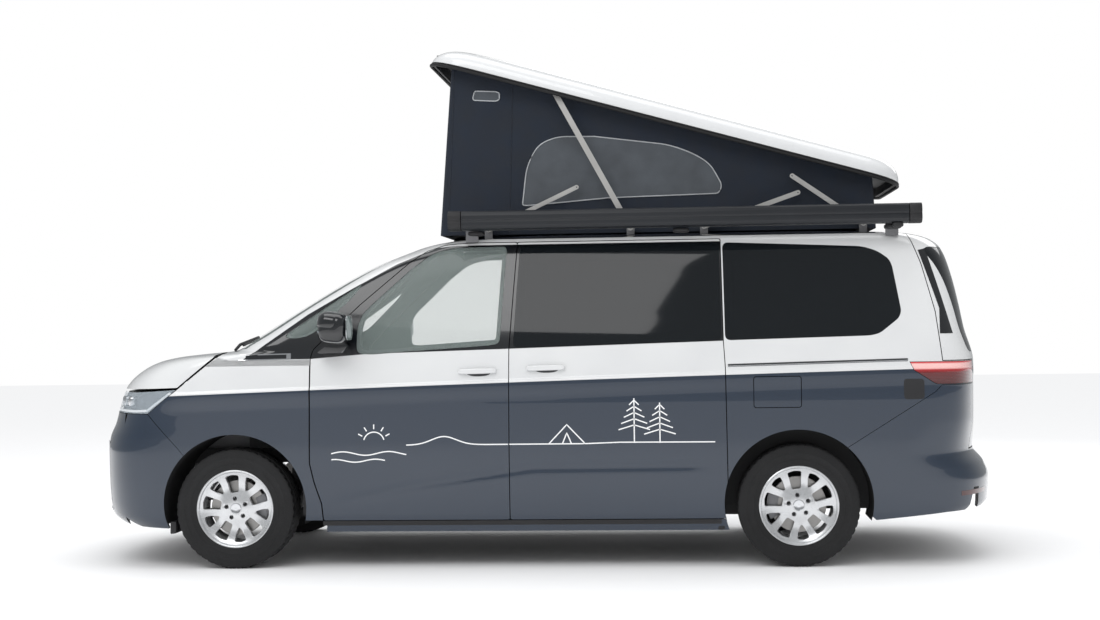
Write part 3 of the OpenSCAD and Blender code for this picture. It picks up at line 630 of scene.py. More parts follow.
def strips(name, lines, width, material, side=-1, stand=0.9, surface=None):
    """Thin film or trim that lies on the body: each line is a path in (x, z), or (y, z) with a surface."""
    verts, faces = [], []
    for line in lines:
        p = np.array(resample(line, 12.0))
        t = np.gradient(p, axis=0)
        t /= np.maximum(np.linalg.norm(t, axis=1), 1e-6)[:, None]
        n = np.stack([-t[:, 1], t[:, 0]], axis=1)
        base = len(verts)
        for s in (-1, 1):
            q = p + n * s * width / 2
            if surface is None:
                w = half_width(q[:, 0], q[:, 1]) + stand
                verts += [(a, side * b, c) for a, b, c in zip(q[:, 0], w, q[:, 1])]
            else:
                xs = surface(q[:, 0], q[:, 1])
                verts += [(a, b, c) for a, b, c in zip(xs, q[:, 0], q[:, 1])]
        m = len(p)
        faces += [(base + i, base + i + 1, base + m + i + 1, base + m + i) for i in range(m - 1)]
    return new_object(name, verts, faces, material)


def revolve(name, profile, centre, material, n=96, side=-1, bump=None):
    """A closed profile of (radius, outward distance) turned about a wheel's axle."""
    m = len(profile)
    verts, faces = [], []
    for i in range(n):
        a = 2 * math.pi * i / n
        for k, (r, out) in enumerate(profile):
            rr = r if bump is None else r + bump(i, k, r, out)
            verts.append((centre[0] + rr * math.cos(a), centre[1] + side * out, centre[2] + rr * math.sin(a)))
    for i in range(n):
        j = (i + 1) % n
        for k in range(m):
            l = (k + 1) % m
            f = (i * m + k, i * m + l, j * m + l, j * m + k)
            faces.append(f if side < 0 else f[::-1])
    return new_object(name, verts, faces, material)


def piece(obj, body, *nodes, slot=None, material=None):
    """Hands a finished piece to its body, and hides the CAD nodes that it stands for."""
    if material is not None:
        obj.data.materials.clear()
        obj.data.materials.append(material)
    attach(obj, body)
    if nodes:
        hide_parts(*nodes)
    return obj


# ---- outlines of the panels, seen from the side ------------------------------------------

front_door = [(-1175, 264), (-1181, 360), (-1219, 479), (-1243, 586), (-1235, 1166), (-1221, 1216),
              (-965, 1463), (-700, 1690), (-600, 1762), (-500, 1795), (-400, 1804), (-88, 1804), (-88, 1765),
              (-126, 1204), (-132, 264)]
slide_door = [(-132, 264), (-126, 1204), (-88, 1765), (-88, 1804), (1047, 1804), (1047, 1778), (1053, 1231),
              (1061, 1092), (1069, 264)]
front_pane = [(-975, 1196), (-905, 1187), (-240, 1228), (-178, 1240), (-146, 1757), (-156, 1780),
              (-450, 1778), (-560, 1750), (-690, 1652), (-975, 1392)]
slide_pane = [(-103, 1213), (1043, 1240), (1037, 1782), (-70, 1782)]
quarter_pane = [(1064, 1241), (1848, 1257), (1901, 1269), (2005, 1350), (2020, 1386), (1982, 1637),
                (1966, 1675), (1910, 1718), (1827, 1747), (1427, 1766), (1058, 1782)]
corner_pane = [(-1410, 1282), (-1250, 1282), (-1000, 1512), (-948, 1592)]
screen = [(-2000, 1226), (-1625, 1226), (-1490, 1303), (-1235, 1468), (-960, 1634), (-730, 1764),
          (-700, 1772), (-600, 1900), (-2000, 1900)]
wing = [(-1177, 264), (-1183, 360), (-1221, 479), (-1245, 586), (-1238, 1158), (-1700, 1158), (-1772, 1180),
        (-1990, 1005), (-2168, 868), (-1990, 676), (-1700, 300), (-1450, 264)]
bonnet_side = [(-2700, 990), (-1990, 1012), (-1787, 1178), (-1787, 1400), (-2700, 1400)]
lamp_front = [(-1998, 1002), (-2168, 868.3), (-2700, 868.3), (-2700, 986), (-2250, 988)]
bumper_front = [(-1990, 676), (-2168, 866), (-2700, 866), (-2700, 242), (-2065, 222), (-2040, 250),
                (-1900, 560)]
bumper_rear = [(1700, 640), (2190, 948), (2225, 984), (2700, 984), (2700, 305), (2400, 297), (2250, 290),
               (1868, 250), (1700, 400)]
lamp_rear = [(2057, 1110), (2078, 1066), (2183, 998), (2200, 990), (2700, 990), (2700, 1110)]
hatch = [(2060, 1900), (2087, 1799), (2141, 1646), (2204, 1383), (2232, 1116), (2700, 1116), (2700, 1900)]
flap = [(1222, 872), (1461, 872), (1469, 880), (1469, 1031), (1461, 1039), (1222, 1039), (1214, 1031),
        (1214, 880)]
black_zone = [(-1618, 1166), (-1556, 1207), (-1262, 1413), (-1008, 1558), (-764, 1690), (-645, 1738),
              (-540, 1780), (-430, 1790), (1051, 1790), (1056, 1238), (-127, 1209), (-902, 1191), (-1235, 1166)]
rail = [(-790, 1757), (-600, 1806), (-400, 1823), (1905, 1823), (1925, 1838), (1925, 1852), (-300, 1852),
        (-560, 1838), (-700, 1800)]
PANES = [front_pane, slide_pane, quarter_pane, corner_pane]


def glass_shape(outline, d=0.0):
    return fillet(grow(outline, d), 34, 6, True)


def hatch_glass(d=0.0):
    y, z = 780 + d, 290 + d
    corners = [(-y, 1450 - z), (y, 1450 - z), (y, 1450 + z), (-y, 1450 + z)]
    return prism(fillet(corners, 60 + d), 2150, 2700, "x")


def grille_opening(d=0.0, x0=-2700, x1=-2100):
    y, z = 700 + d, 182 + d
    return prism(fillet([(-y, 500 - z), (y, 500 - z), (y, 500 + z), (-y, 500 + z)], 60 + d), x0, x1, "x")


def bonnet_region(gap):
    y = np.linspace(-1100, 1100, 61)
    x = np.minimum(-1787 + gap, -1880 + 3200 + gap - np.sqrt(3200.0 ** 2 - y ** 2))
    outline = [(-2700, -1100)] + list(zip(x, y)) + [(-2700, 1100)]
    region = prism(outline, 900, 1400, "z")
    return boolean(region, through([(-2700, 900), (-1990, 1000), (-1740, 1200), (-1700, 1400), (-2700, 1400)]),
                   "INTERSECT")


# ---- painted panels ----------------------------------------------------------------------

INNER = finish_of("inner_trim", (0.018, 0.019, 0.021), 0.6, grain=500, relief=0.3)
shell = body_volume(0)
boolean(shell, body_volume(40))
for axle in (FRONT_AXLE, REAR_AXLE):
    boolean(shell, disc_tool(axle, ARCH_Z, ARCH_R, -1100, 1100))
rebate = join([through(glass_shape(p, 1.5), 500) for p in PANES]
              + [through(fillet(grow(screen, 1.5), 20)), hatch_glass(1.5)])
boolean(rebate, body_volume(6))
boolean(shell, rebate)
openings = join([through(glass_shape(front_pane, -22), 500), through(glass_shape(slide_pane, -45), 500),
                 through(glass_shape(quarter_pane, -45), 500), through(glass_shape(corner_pane, -16), 500),
                 through(fillet(grow(screen, -30), 20)), hatch_glass(-40)])
boolean(shell, openings)


def panel(name, body, node, keep, cuts=(), source=None, material=None, reach=1.4):
    obj = copy_of(source or shell, name)
    for tool in keep:
        boolean(obj, tool, "INTERSECT")
    for tool in cuts:
        boolean(obj, tool)
    obj.data.materials.clear()
    obj.data.materials.append(material or PAINT)
    if material is None:
        obj.data.materials.append(INNER)
    body_normals(obj, reach=reach)
    if material is None:
        mesh = obj.data
        co = np.empty(len(mesh.vertices) * 3)
        mesh.vertices.foreach_get("co", co)
        co = co.reshape(-1, 3) / MM
        near = np.abs(body_field(co)) / np.maximum(np.linalg.norm(body_gradient(co), axis=1), 1e-6) < 1.4
        for p in mesh.polygons:
            p.material_index = 0 if all(near[v] for v in p.vertices) else 1
    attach(obj, body)
    if node:
        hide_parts(*([node] if isinstance(node, str) else node))
    return obj


half_gap = GAP / 2 - 0.6
body = panel("body_panels", "van_body", "body_shell", [], [
    through([(-2700, 100), (-2700, 1130), (-1232, 1130), (-1100, 600), (-1180, 100)]),
    through([(-2700, 1100), (-1990, 1005), (-1762, 1186), (-1700, 1163), (-1232, 1163), (-1232, 1100)], 790),
    bonnet_region(34),
    through(fillet(grow(front_door, half_gap), 12), 640),
    through(fillet(grow(slide_door, half_gap), 12), 640),
    through(grow(hatch, half_gap)),
    block((2150, 2700), (-700, 700), (100, 1300)),
    through(grow(lamp_rear, 2)),
    through(grow(bumper_rear, 1.5)),
    block((-1300, 2700), (-870, 870), (100, 290)),
    block((1780, 2700), (-1100, 1100), (100, 300)),
    block((-560, 1890), (-590, 590), (1700, 1900)),
    through(fillet(grow(flap, 3), 14), 900, (-1,))])
panel("front_wing_panels", "van_body", "front_wings", [through(grow(wing, -half_gap), 780)],
      [block((-2400, -1100), (-870, 870), (100, 1000))])
panel("bonnet_panel", "bonnet", "bonnet", [bonnet_region(0), through(grow(bonnet_side, -2))])
panel("front_bumper_skin", "van_body", "front_bumper", [through(grow(bumper_front, 0.2))],
      [block((-2330, -1500), (-830, 830), (100, 900)), grille_opening(0.5)])
panel("rear_bumper_skin", "van_body", "rear_bumper", [through(grow(bumper_rear, -1.2))],
      [block((2100, 2700), (-700, 700), (618, 1100)), block((1500, 2440), (-830, 830), (100, 420))])
for side, label in ((-1, "left"), (1, "right")):
    panel("front_door_" + label, label + "_door", "door_" + label,
          [through(fillet(grow(front_door, -half_gap), 12), 640, (side,))])
    panel("sliding_door_" + label, "van_body", "sliding_doors" if side < 0 else None,
          [through(fillet(grow(slide_door, -half_gap), 12), 640, (side,))])
gate = prism(np.array(grow(hatch, -half_gap)), -1100, 1100)
boolean(gate, block((2150, 2700), (-692, 692), (626, 1125)), "UNION")
panel("tailgate_panel", "tailgate", "tailgate", [gate])
panel("fuel_flap_skin", "fuel_flap", "fuel_flap", [through(fillet(grow(flap, -1), 14), 930, (-1,))])

# ---- glass -------------------------------------------------------------------------------

sheet_glass = body_volume(0.5)
boolean(sheet_glass, body_volume(5))


def pane(name, body, node, tool, material):
    obj = panel(name, body, node, [tool], source=sheet_glass, material=material)
    return obj


pane("windscreen_glass", "van_body", "windscreen", through(fillet(screen, 20)), CLEAR)
pane("corner_glass", "van_body", "fixed_side_glass", through(glass_shape(corner_pane), 500), CLEAR)
pane("quarter_glass", "van_body", None, through(glass_shape(quarter_pane), 500), PRIVACY)
pane("sliding_door_panes", "van_body", "sliding_door_glass", through(glass_shape(slide_pane), 500), PRIVACY)
for side, label in ((-1, "left"), (1, "right")):
    pane("front_door_pane_" + label, label + "_door", "door_glass_" + label,
         through(glass_shape(front_pane), 500, (side,)), CLEAR)
pane("tailgate_pane", "tailgate", "tailgate_glass", hatch_glass(), PRIVACY)

# ---- black trim that lies on the body ----------------------------------------------------

cover = body_volume(-0.9)
boolean(cover, body_volume(3))


def trim(name, body, keep, cuts=(), material=None):
    return panel(name, body, None, keep, cuts, source=cover, material=material or GLOSS_BLACK)


for side, label in ((-1, "left"), (1, "right")):
    zone = through(black_zone, 500, (side,))
    trim("front_door_frame_" + label, label + "_door",
         [zone, through(grow(front_door, -half_gap), 500, (side,))],
         [through(glass_shape(front_pane, 0.8), 500, (side,))])
trim("corner_trim", "van_body", [through(black_zone, 500)],
     [through(grow(front_door, half_gap), 500), through(grow(slide_door, 400), 500),
      through(glass_shape(corner_pane, 0.8), 500), through(grow(screen, 1), 0)])
trim("sliding_door_trim", "van_body", [through(black_zone, 500), through(grow(slide_door, -half_gap), 500)],
     [through(glass_shape(slide_pane, 0.8), 500)])
trim("roof_rails", "van_body", [through(rail, 400)])
fin = [(2128, 1722), (2330, 1768), (2330, 1738), (2176, 1704), (2262, 1400), (2300, 1262), (2224, 1262),
       (2228, 1400)]
trim("tailgate_fins", "tailgate", [through(fin, 560), through(grow(hatch, -half_gap))], [hatch_glass(1)])
trim("socket_hatch", "van_body", [through(fillet([(2021, 909), (2130, 909), (2130, 1019), (2021, 1019)], 20),
                                          700, (-1,))], material=BLACK)

# ---- lamps and grille --------------------------------------------------------------------

middle = ((-2700, -2100), (-513, 513), (800, 1100))
lens = panel("headlamp_lenses", "van_body", "headlights", [through(grow(lamp_front, -1))], [block(*middle)],
             source=sheet_glass, material=LENS)
house = body_volume(24)
boolean(house, body_volume(60))
panel("headlamp_bowls", "van_body", None, [through(grow(lamp_front, -1))], [block(*middle)], source=house,
      material=finish_of("lamp_bowl", (0.10, 0.11, 0.12), 0.25, metal=0.5))
drop(house)
panel("tail_lamp_lenses", "van_body", "tail_lights", [through(grow(lamp_rear, -0.6))],
      [block((2100, 2700), (-701, 701), (900, 1200))], source=shell, material=RED)
plate = body_volume(12)
boolean(plate, body_volume(26))
HONEY = finish_of("grille_satin", (0.16, 0.17, 0.18), 0.38, metal=0.4, grain=700, relief=0.2)
cells = []
for row in range(16):
    for col in range(-24, 25):
        y, z = (col + (row % 2) * 0.5) * 27.0, 340 + row * 21.0
        if (z < 452 or z > 596) and abs(y) < 668 and 338 < z < 664:
            a = np.radians(np.arange(6) * 60 + 30)
            cells.append(prism(np.stack([y + 11 * np.cos(a), z + 11 * np.sin(a)], axis=1), -2700, -2050, "x"))
panel("grille_insert", "van_body", "grille", [grille_opening(-1)], [join(cells)], source=plate, material=HONEY)
panel("upper_grille", "van_body", None, [block((-2700, -2100), (-511, 511), (870, 984))], source=plate,
      material=GLOSS_BLACK)
backing = body_volume(34)
boolean(backing, body_volume(44))
panel("grille_backing", "van_body", None, [grille_opening(-2)], source=backing, material=BLACK)
drop(backing)
drop(plate)


def on_front(y, z, stand=1.0):
    return front_x(y, z) - stand


ring = fillet([(-712, 306), (712, 306), (712, 694), (-712, 694)], 70, 8)
ring = [tuple(p) for p in ring] + [tuple(ring[0])]
for sign in (-1, 1):
    part = [p for p in resample(ring, 12) if sign * p[0] > -10]
    order = sorted(part, key=lambda p: (math.atan2(p[1] - 500, abs(p[0]) + 1)))
    piece(strips("grille_surround_" + ("left" if sign < 0 else "right"), [order], 13, CHROME,
                 surface=lambda y, z: on_front(y, z, 2.0)), "van_body")
bars = [[(-505, z), (505, z)] for z in (893, 962)]
piece(strips("upper_grille_bars", bars, 9, CHROME, surface=lambda y, z: on_front(y, z, -3.0)), "van_body")
badge = prism(np.stack([46 * np.cos(np.linspace(0, 2 * math.pi, 49)[:-1]),
                        927 + 46 * np.sin(np.linspace(0, 2 * math.pi, 49)[:-1])], axis=1),
              float(front_x(0, 927)) - 6, float(front_x(0, 927)) + 30, "x")
badge.name = "blank_badge"
piece(soft_edges(bevel(badge, 4, 3)), "van_body", material=CHROME)
for side, label in ((-1, "left"), (1, "right")):
    lamp_line = [(-2455, 884), (-2250, 882), (-2172, 886), (-2030, 985)]
    piece(strips("running_light_" + label, [lamp_line], 13, WHITE_LINE, side, stand=-8.0), "van_body")
    for k, (y, z) in enumerate(((600, 930), (700, 932), (790, 934))):
        x = float(front_x(y, z)) + 34
        eye = puff("lamp_module_%s_%d" % (label, k), (x, side * y, z), (46, 72, 62), CHROME, 4.0, 14)
        piece(eye, "van_body")


def number_plate(name, body, x, z):
    obj = prism(fillet([(-260, z - 55), (260, z - 55), (260, z + 55), (-260, z + 55)], 10), x - 3, x + 3, "x")
    obj.name = name
    piece(soft_edges(bevel(obj, 1.2, 2)), body, material=WHITE_LINE)


number_plate("front_blank_plate", "van_body", float(front_x(0, 500)) - 2, 505)
number_plate("rear_blank_plate", "tailgate", float(rear_x(0, 860)) + 4, 850)

# ---- lines, handles and the white drawing on the flank -----------------------------------

for side, label in ((-1, "left"), (1, "right")):
    piece(strips("door_rail_" + label, [[(1075, 1106), (2046, 1126)]], 9, DARK_FILM_AND_SHADE, side, 1.2), "van_body")
    piece(strips("rail_brightwork_" + label, [[(1075, 1097), (2046, 1117)]], 5, CHROME, side, 1.4), "van_body")
    for name, owner, x, z in (("front_handle_", label + "_door", -300, 1088),
                              ("slide_handle_", "van_body", 77, 1102)):
        y = float(half_width(x, z))
        piece(puff(name + label, (x, side * (y + 12), z), (212, 26, 30), PAINT, 4.5, 20, tilt=-0.02), owner)
        # a thin dark patch just under and behind each handle: painted shade for the handle's recess
        piece(puff(name + "shade_patch_" + label, (x + 6, side * (y - 1), z - 16), (150, 9, 44), DARK_FILM_AND_SHADE, 2.2, 14), owner)
    piece(strips("blank_badge_plate_" + label, [[(-1640, 1178), (-1345, 1182)]], 34, CHROME, side, 1.6), "van_body")
    piece(strips("badge_inset_" + label, [[(-1600, 1178), (-1370, 1181)]], 22, GLOSS_BLACK, side, 2.2), "van_body")
    piece(strips("sill_strip_" + label, [[(-1180, 249), (1030, 249)]], 26, BLACK, side, 1.0), "van_body")
    piece(strips("rear_reflector_" + label, [[(2330, 392), (2490, 396)]], 26, RED, side, 1.0), "van_body")


def arc(cx, cz, r, a0, a1, n=14, squeeze=1.0):
    return [(cx + r * math.cos(math.radians(a0 + (a1 - a0) * k / n)),
             cz + squeeze * r * math.sin(math.radians(a0 + (a1 - a0) * k / n))) for k in range(n + 1)]


ground = 684
swell = [(-1120 + 12 * k, 640 + 10 * math.sin(k / 3.4)) for k in range(36)]
swell_low = [(-1120 + 12 * k, 600 + 8 * math.sin(k / 3.0 + 1)) for k in range(26)]
hill = [(-700 + 15 * k, ground + 46 * math.exp(-((k - 14) / 6.5) ** 2)) for k in range(30)]
pines = []
for x, top, foot in ((560, 930, ground + 2), (700, 905, ground + 1)):
    pines.append([(x, foot), (x, top)])
    for k in range(5):
        z, w = top - 10 - 34 * k, 26 + 15 * k
        pines.append([(x - w, z - 26), (x, z), (x + w, z - 26)])
tent_lines = [[(90, ground), (190, ground + 105), (290, ground), (90, ground)], [(165, ground), (190, ground + 60),
                                                                           (215, ground)]]
door_drawing = [swell, swell_low, arc(-880, 700, 58, 15, 165), hill,
                [(-265, ground), (-135, ground)]] + [
    [(-880 + 74 * math.cos(a), 700 + 74 * math.sin(a)), (-880 + 100 * math.cos(a), 700 + 100 * math.sin(a))]
    for a in (0.5, 1.0, 1.57, 2.14, 2.64)]
slide_drawing = [[(-128, ground), (90, ground)], [(290, ground), (480, ground + 6), (1000, ground + 4)]]
slide_drawing += tent_lines + pines
for side, label in ((-1, "left"), (1, "right")):
    piece(strips("door_drawing_" + label, door_drawing, 6.5, WHITE_LINE, side), label + "_door")
    piece(strips("flank_drawing_" + label, slide_drawing, 6.5, WHITE_LINE, side), "van_body")

# ---- wheels ------------------------------------------------------------------------------

tread = [(-100, 0), (-96, 0), (-60, 0), (-58, 1), (-50, 1), (-48, 0), (-24, 0), (-22, 1), (-14, 1), (-12, 0),
         (12, 0), (14, 1), (22, 1), (24, 0), (48, 0), (50, 1), (58, 1), (60, 0), (96, 0), (100, 0)]
wall = [(208, 98), (216, 107), (224, 110), (246, 115), (249, 117), (252, 115.5), (282, 117), (285, 118.5),
        (289, 117), (306, 113), (318, 109), (327, 104)]
tyre_profile = [(208, 0)] + [(r, -out) for r, out in wall]
tyre_profile += [(333.5 - 8 * deep - 2.0 * (abs(out) / 100) ** 4, out) for out, deep in tread]
tyre_profile += [(r, out) for r, out in wall[::-1]]


def tread_blocks(i, k, r, out):
    """Cross grooves in the shoulders and sipes in the middle ribs."""
    if r < 325 or abs(out) > 101:
        return -2.5 if (r > 305 and i % 4 == 0 and abs(out) > 104) else 0.0
    if abs(out) >= 60:
        return -6.0 if i % 4 == 0 else 0.0
    return -2.0 if (i + (2 if out > 0 else 0)) % 6 == 0 and abs(out) < 48 else 0.0


rim_profile = [(217, 108), (213, 110.5), (208, 109), (204, 103), (201, 92), (200, 60), (186, 30), (184, -60),
               (198, -92), (205, -104), (216, -106), (216, -98), (206, -94), (202, -60), (206, 20), (209, 96)]
LUG_TURN = math.radians(97)


def wheel_face():
    """The spoked disc: a dished plate with five wide and five narrow windows."""
    front = [(0, 84), (36, 84), (64, 82), (84, 75), (120, 70), (160, 76), (190, 88), (203, 97)]
    back = [(203, 62), (190, 52), (160, 44), (120, 40), (84, 42), (40, 36), (0, 36)]
    n = 120
    ring = front[1:] + back[:-1]
    m = len(ring)
    verts = [(0, -front[0][1], 0), (0, -back[-1][1], 0)]
    for i in range(n):
        a = 2 * math.pi * i / n
        verts += [(r * math.cos(a), -out, r * math.sin(a)) for r, out in ring]
    faces = []
    for i in range(n):
        j = (i + 1) % n
        faces.append((0, 2 + j * m, 2 + i * m))
        faces.append((1, 2 + i * m + m - 1, 2 + j * m + m - 1))
        faces += [(2 + i * m + k, 2 + j * m + k, 2 + j * m + k + 1, 2 + i * m + k + 1) for k in range(m - 1)]
    disc = new_object("disc", verts, faces, smooth=False)
    tools = []
    for k in range(5):
        turn = LUG_TURN + 2 * math.pi * k / 5
        for centre, shape in ((turn, [(-15, 92), (15, 92), (12.4, 150), (12.2, 187), (0, 190), (-12.2, 187),
                                      (-12.4, 150)]),
                              (turn + math.pi / 5, [(0, 100), (9.2, 150), (10.6, 186), (0, 190), (-10.6, 186),
                                                    (-9.2, 150)])):
            points = [(r * math.cos(centre + math.radians(d)), r * math.sin(centre + math.radians(d)))
                      for d, r in shape]
            tools.append(prism(fillet(points, 11, 4), -140, 0))
        x, z = 56 * math.cos(turn), 56 * math.sin(turn)
        tools.append(disc_tool(x, z, 12.5, -140, -48, 24))
    boolean(disc, join(tools))
    bevel(disc, 3.2, 2, 40)
    return soft_edges(disc, 38)


face = wheel_face()
BRAKE = finish_of("brake_iron", (0.36, 0.35, 0.34), 0.34, metal=1.0, grain=700, relief=0.3, vary=0.12)
TINTED = finish_of("bolt_black", (0.012, 0.012, 0.013), 0.3, relief=0.1)
for end, x in (("front", FRONT_AXLE), ("rear", REAR_AXLE)):
    for side, label in ((-1, "left"), (1, "right")):
        centre = (x, side * WHEEL_Y, WHEEL_Z)
        owner = end + "_" + label + "_wheel"
        tag = end + "_" + label
        piece(soft_edges(revolve("tyre_body_" + tag, tyre_profile, centre, RUBBER, 192, side, tread_blocks), 40),
              owner, "tyre_" + tag)
        piece(soft_edges(revolve("rim_barrel_" + tag, rim_profile, centre, ALLOY, 128, side), 40), owner)
        disc = copy_of(face, "spoked_disc_" + tag)
        if side > 0:
            disc.data.transform(Matrix.Scale(-1, 4, (0, 1, 0)))
            disc.data.flip_normals()
        disc.data.transform(Matrix.Translation(Vector(centre) * MM))
        piece(disc, owner, "wheel_" + tag, material=ALLOY)
        cap = [(0.1, 80), (31, 80), (31, 87), (28, 89.5), (25, 88), (0.1, 90)]
        piece(soft_edges(revolve("centre_cap_" + tag, cap, centre, CHROME, 48, side), 40), owner)
        for k in range(5):
            turn = LUG_TURN + 2 * math.pi * k / 5
            bolt = (centre[0] + 56 * math.cos(turn), centre[1] + side * 58, centre[2] + 56 * math.sin(turn))
            hexagon = [(bolt[0] + 9 * math.cos(a), bolt[2] + 9 * math.sin(a)) for a in np.arange(6) * math.pi / 3]
            head = prism(hexagon, *sorted((bolt[1] - side * 14, bolt[1] + side * 8)))
            head.name = "bolt_%s_%d" % (tag, k)
            piece(soft_edges(bevel(head, 1.5, 2)), owner, material=TINTED)
        rotor = [(60, 34), (72, 34), (74, 26), (152, 26), (154, 24), (154, 6), (152, 4), (74, 4), (60, 24)]
        piece(soft_edges(revolve("brake_disc_" + tag, rotor, centre, BRAKE, 96, side), 40), owner)
        turns = [math.radians(d) for d in np.linspace(-28, 28, 9)]
        at = math.pi if end == "rear" else 0.0
        caliper = [(centre[0] + r * math.cos(at + t), centre[2] + r * math.sin(at + t))
                   for r, ts in ((112, turns), (172, turns[::-1])) for t in ts]
        body_of = label + "_knuckle" if end == "front" else "van_body"
        block_c = prism(caliper, *sorted((centre[1] - side * 12, centre[1] + side * 35)))
        wide = [math.radians(d) for d in np.linspace(-42, 42, 9)]
        throat = [(centre[0] + r * math.cos(at + t), centre[2] + r * math.sin(at + t))
                  for r, ts in ((96, wide), (157, wide[::-1])) for t in ts]
        boolean(block_c, prism(throat, *sorted((centre[1] + side * 1, centre[1] + side * 29))))
        block_c.name = "brake_caliper_" + tag
        piece(soft_edges(bevel(block_c, 2, 2)), body_of, material=CAST)
        # the arch's liner, with its lip
        liner = [(r, out) for r, out in ((ARCH_R - 1, 118), (ARCH_R - 1, -330 if end == "front" else -250),
                                         (ARCH_R + 4, -330 if end == "front" else -250), (ARCH_R + 4, 60))]
        verts, faces = [], []
        arc_n = 64
        for i in range(arc_n + 1):
            a = math.radians(-14 + 208 * i / arc_n)
            for r, out in liner:
                px, pz = x + r * math.cos(a), ARCH_Z + r * math.sin(a)
                deep = side * (WHEEL_Y + out)
                if out > 100:
                    deep = side * max(float(half_width(px, max(pz, 235))) - 3, 700)
                verts.append((px, deep, pz))
        for i in range(arc_n):
            faces += [(i * 4 + k, (i + 1) * 4 + k, (i + 1) * 4 + (k + 1) % 4, i * 4 + (k + 1) % 4) for k in range(4)]
        piece(soft_edges(new_object("arch_liner_" + tag, verts, faces, LINER), 50), "van_body")
for side, label in ((-1, "left"), (1, "right")):
    for name, x0, x1, z0, z1 in (("front", -2052, -2018, 192, 262), ("rear", 1012, 1046, 200, 262)):
        flap_m = prism(fillet([(x0, z0), (x1, z0 + 4), (x1, z1), (x0, z1)], 6), *sorted((side * 735, side * 905)))
        flap_m.name = name + "_mud_flap_" + label
        piece(soft_edges(bevel(flap_m, 3, 2)), "van_body", material=BLACK)
drop(face)

# ---- door mirrors ------------------------------------------------------------------------

for side, label in ((-1, "left"), (1, "right")):
    owner = label + "_door"
    piece(puff("mirror_housing_" + label, (-1068, side * 1092, 1338), (168, 216, 172), GLOSS_BLACK, 3.2, 32, 0.1),
          owner, "mirror_" + label)
    piece(puff("mirror_cap_" + label, (-1078, side * 1092, 1362), (160, 222, 132), GLOSS_BLACK, 2.6, 28, 0.15), owner)
    glass = puff("mirror_glass_" + label, (-985, side * 1094, 1338), (7, 186, 138), MIRROR_FACE, 4.0, 20)
    piece(glass, owner)
    foot = prism(fillet([(-1195, 1196), (-1040, 1200), (-1010, 1232), (-1030, 1268), (-1100, 1264)], 14),
                 *sorted((side * 925, side * 1040)))
    foot.name = "mirror_foot_" + label
    piece(soft_edges(bevel(foot, 9, 3)), owner, material=GLOSS_BLACK)
    piece(puff("mirror_indicator_" + label, (-1140, side * 1120, 1318), (20, 130, 12), LENS, 3.0, 12), owner)

# ---- wipers and roof aerial --------------------------------------------------------------

for k, (y0, y1) in enumerate(((-560, 60), (150, 690))):
    path = []
    for t in np.linspace(0, 1, 14):
        y = y0 + (y1 - y0) * t
        z = 1236 + 60 * t
        path.append((float(front_x(y, z)) - 9, y, z + 6))
    piece(tube("wiper_blade_%d" % k, path, 7, BLACK, n=8), "van_body")
    foot_x, (mid_x, mid_y, mid_z) = path[0][0], path[7]
    arm_path = [(foot_x - 40, y0 - 30, 1216), (foot_x - 30, y0 + 40, 1246), (mid_x - 10, mid_y, mid_z + 10)]
    piece(tube("wiper_arm_%d" % k, arm_path, 9, BLACK, n=10), "van_body")
piece(puff("aerial_fin", (-470, 0, 1846), (150, 44, 60), GLOSS_BLACK, 2.4, 18), "van_body")

# ---- pop-up roof -------------------------------------------------------------------------

POLE = (2913.0, 1861.0)
ROOF_ANGLE = math.radians(15.8)
ROOF_FRONT, ROOF_REAR, SEAL_Z = -742.0, 2032.0, 1858.0
WHITE_SHELL = finish_of("roof_gelcoat", (0.66, 0.67, 0.68), 0.3, coat=0.8, grain=260, relief=0.05, vary=0.02)


def raise_roof(x, y, z):
    dx, dz = x - POLE[0], z - POLE[1]
    return (POLE[0] + dx * math.cos(ROOF_ANGLE) + dz * math.sin(ROOF_ANGLE), y,
            POLE[1] - dx * math.sin(ROOF_ANGLE) + dz * math.cos(ROOF_ANGLE))


def ease(s):
    s = min(max(s, 0.0), 1.0)
    return math.sqrt(1 - (1 - s) ** 4)


def roof_section(x, t):
    e = min(ease((x - ROOF_FRONT - t) / 420), ease((ROOF_REAR - t - x) / 300))
    return (700 - t) * (0.6 + 0.4 * e), (133 - t) * e


stations = ROOF_FRONT + np.concatenate([420 * np.linspace(0, 1, 26) ** 2, np.linspace(450, 2440, 40)])
stations = np.concatenate([stations, ROOF_REAR - 300 * np.linspace(1, 0, 22) ** 2])
verts, faces = [], []
arch = np.linspace(0, 180, 61)
for x in stations:
    w, h = roof_section(x, 0)
    for a in arch:
        c, s = math.cos(math.radians(a)), max(math.sin(math.radians(a)), 0)
        verts.append(raise_roof(x, w * math.copysign(abs(c) ** 0.45, c), SEAL_Z + h * s ** 0.5))
m = len(arch)
for i in range(len(stations) - 1):
    faces += [(i * m + k, i * m + k + 1, (i + 1) * m + k + 1, (i + 1) * m + k) for k in range(m - 1)]
rim = [(x, roof_section(x, 0)[0]) for x in stations]
loops = []
for inset, up in ((0, 0), (26, 0), (30, 56)):
    loop = []
    for s in (1, -1):
        for x, w in (rim if s > 0 else rim[::-1]):
            xx = min(max(x, ROOF_FRONT + inset), ROOF_REAR - inset)
            loop.append(raise_roof(xx, s * (w - inset), SEAL_Z + up))
    loops.append(loop)
n_loop = len(loops[0])
base = len(verts)
for loop in loops:
    verts += loop
for k in range(2):
    for i in range(n_loop):
        j = (i + 1) % n_loop
        low, high = base + k * n_loop, base + (k + 1) * n_loop
        faces.append((low + i, low + j, high + j, high + i))
faces.append(tuple(base + 2 * n_loop + i for i in range(n_loop)))
roof = new_object("roof_shell", verts, faces, WHITE_SHELL)
roof.data.materials.append(INNER)
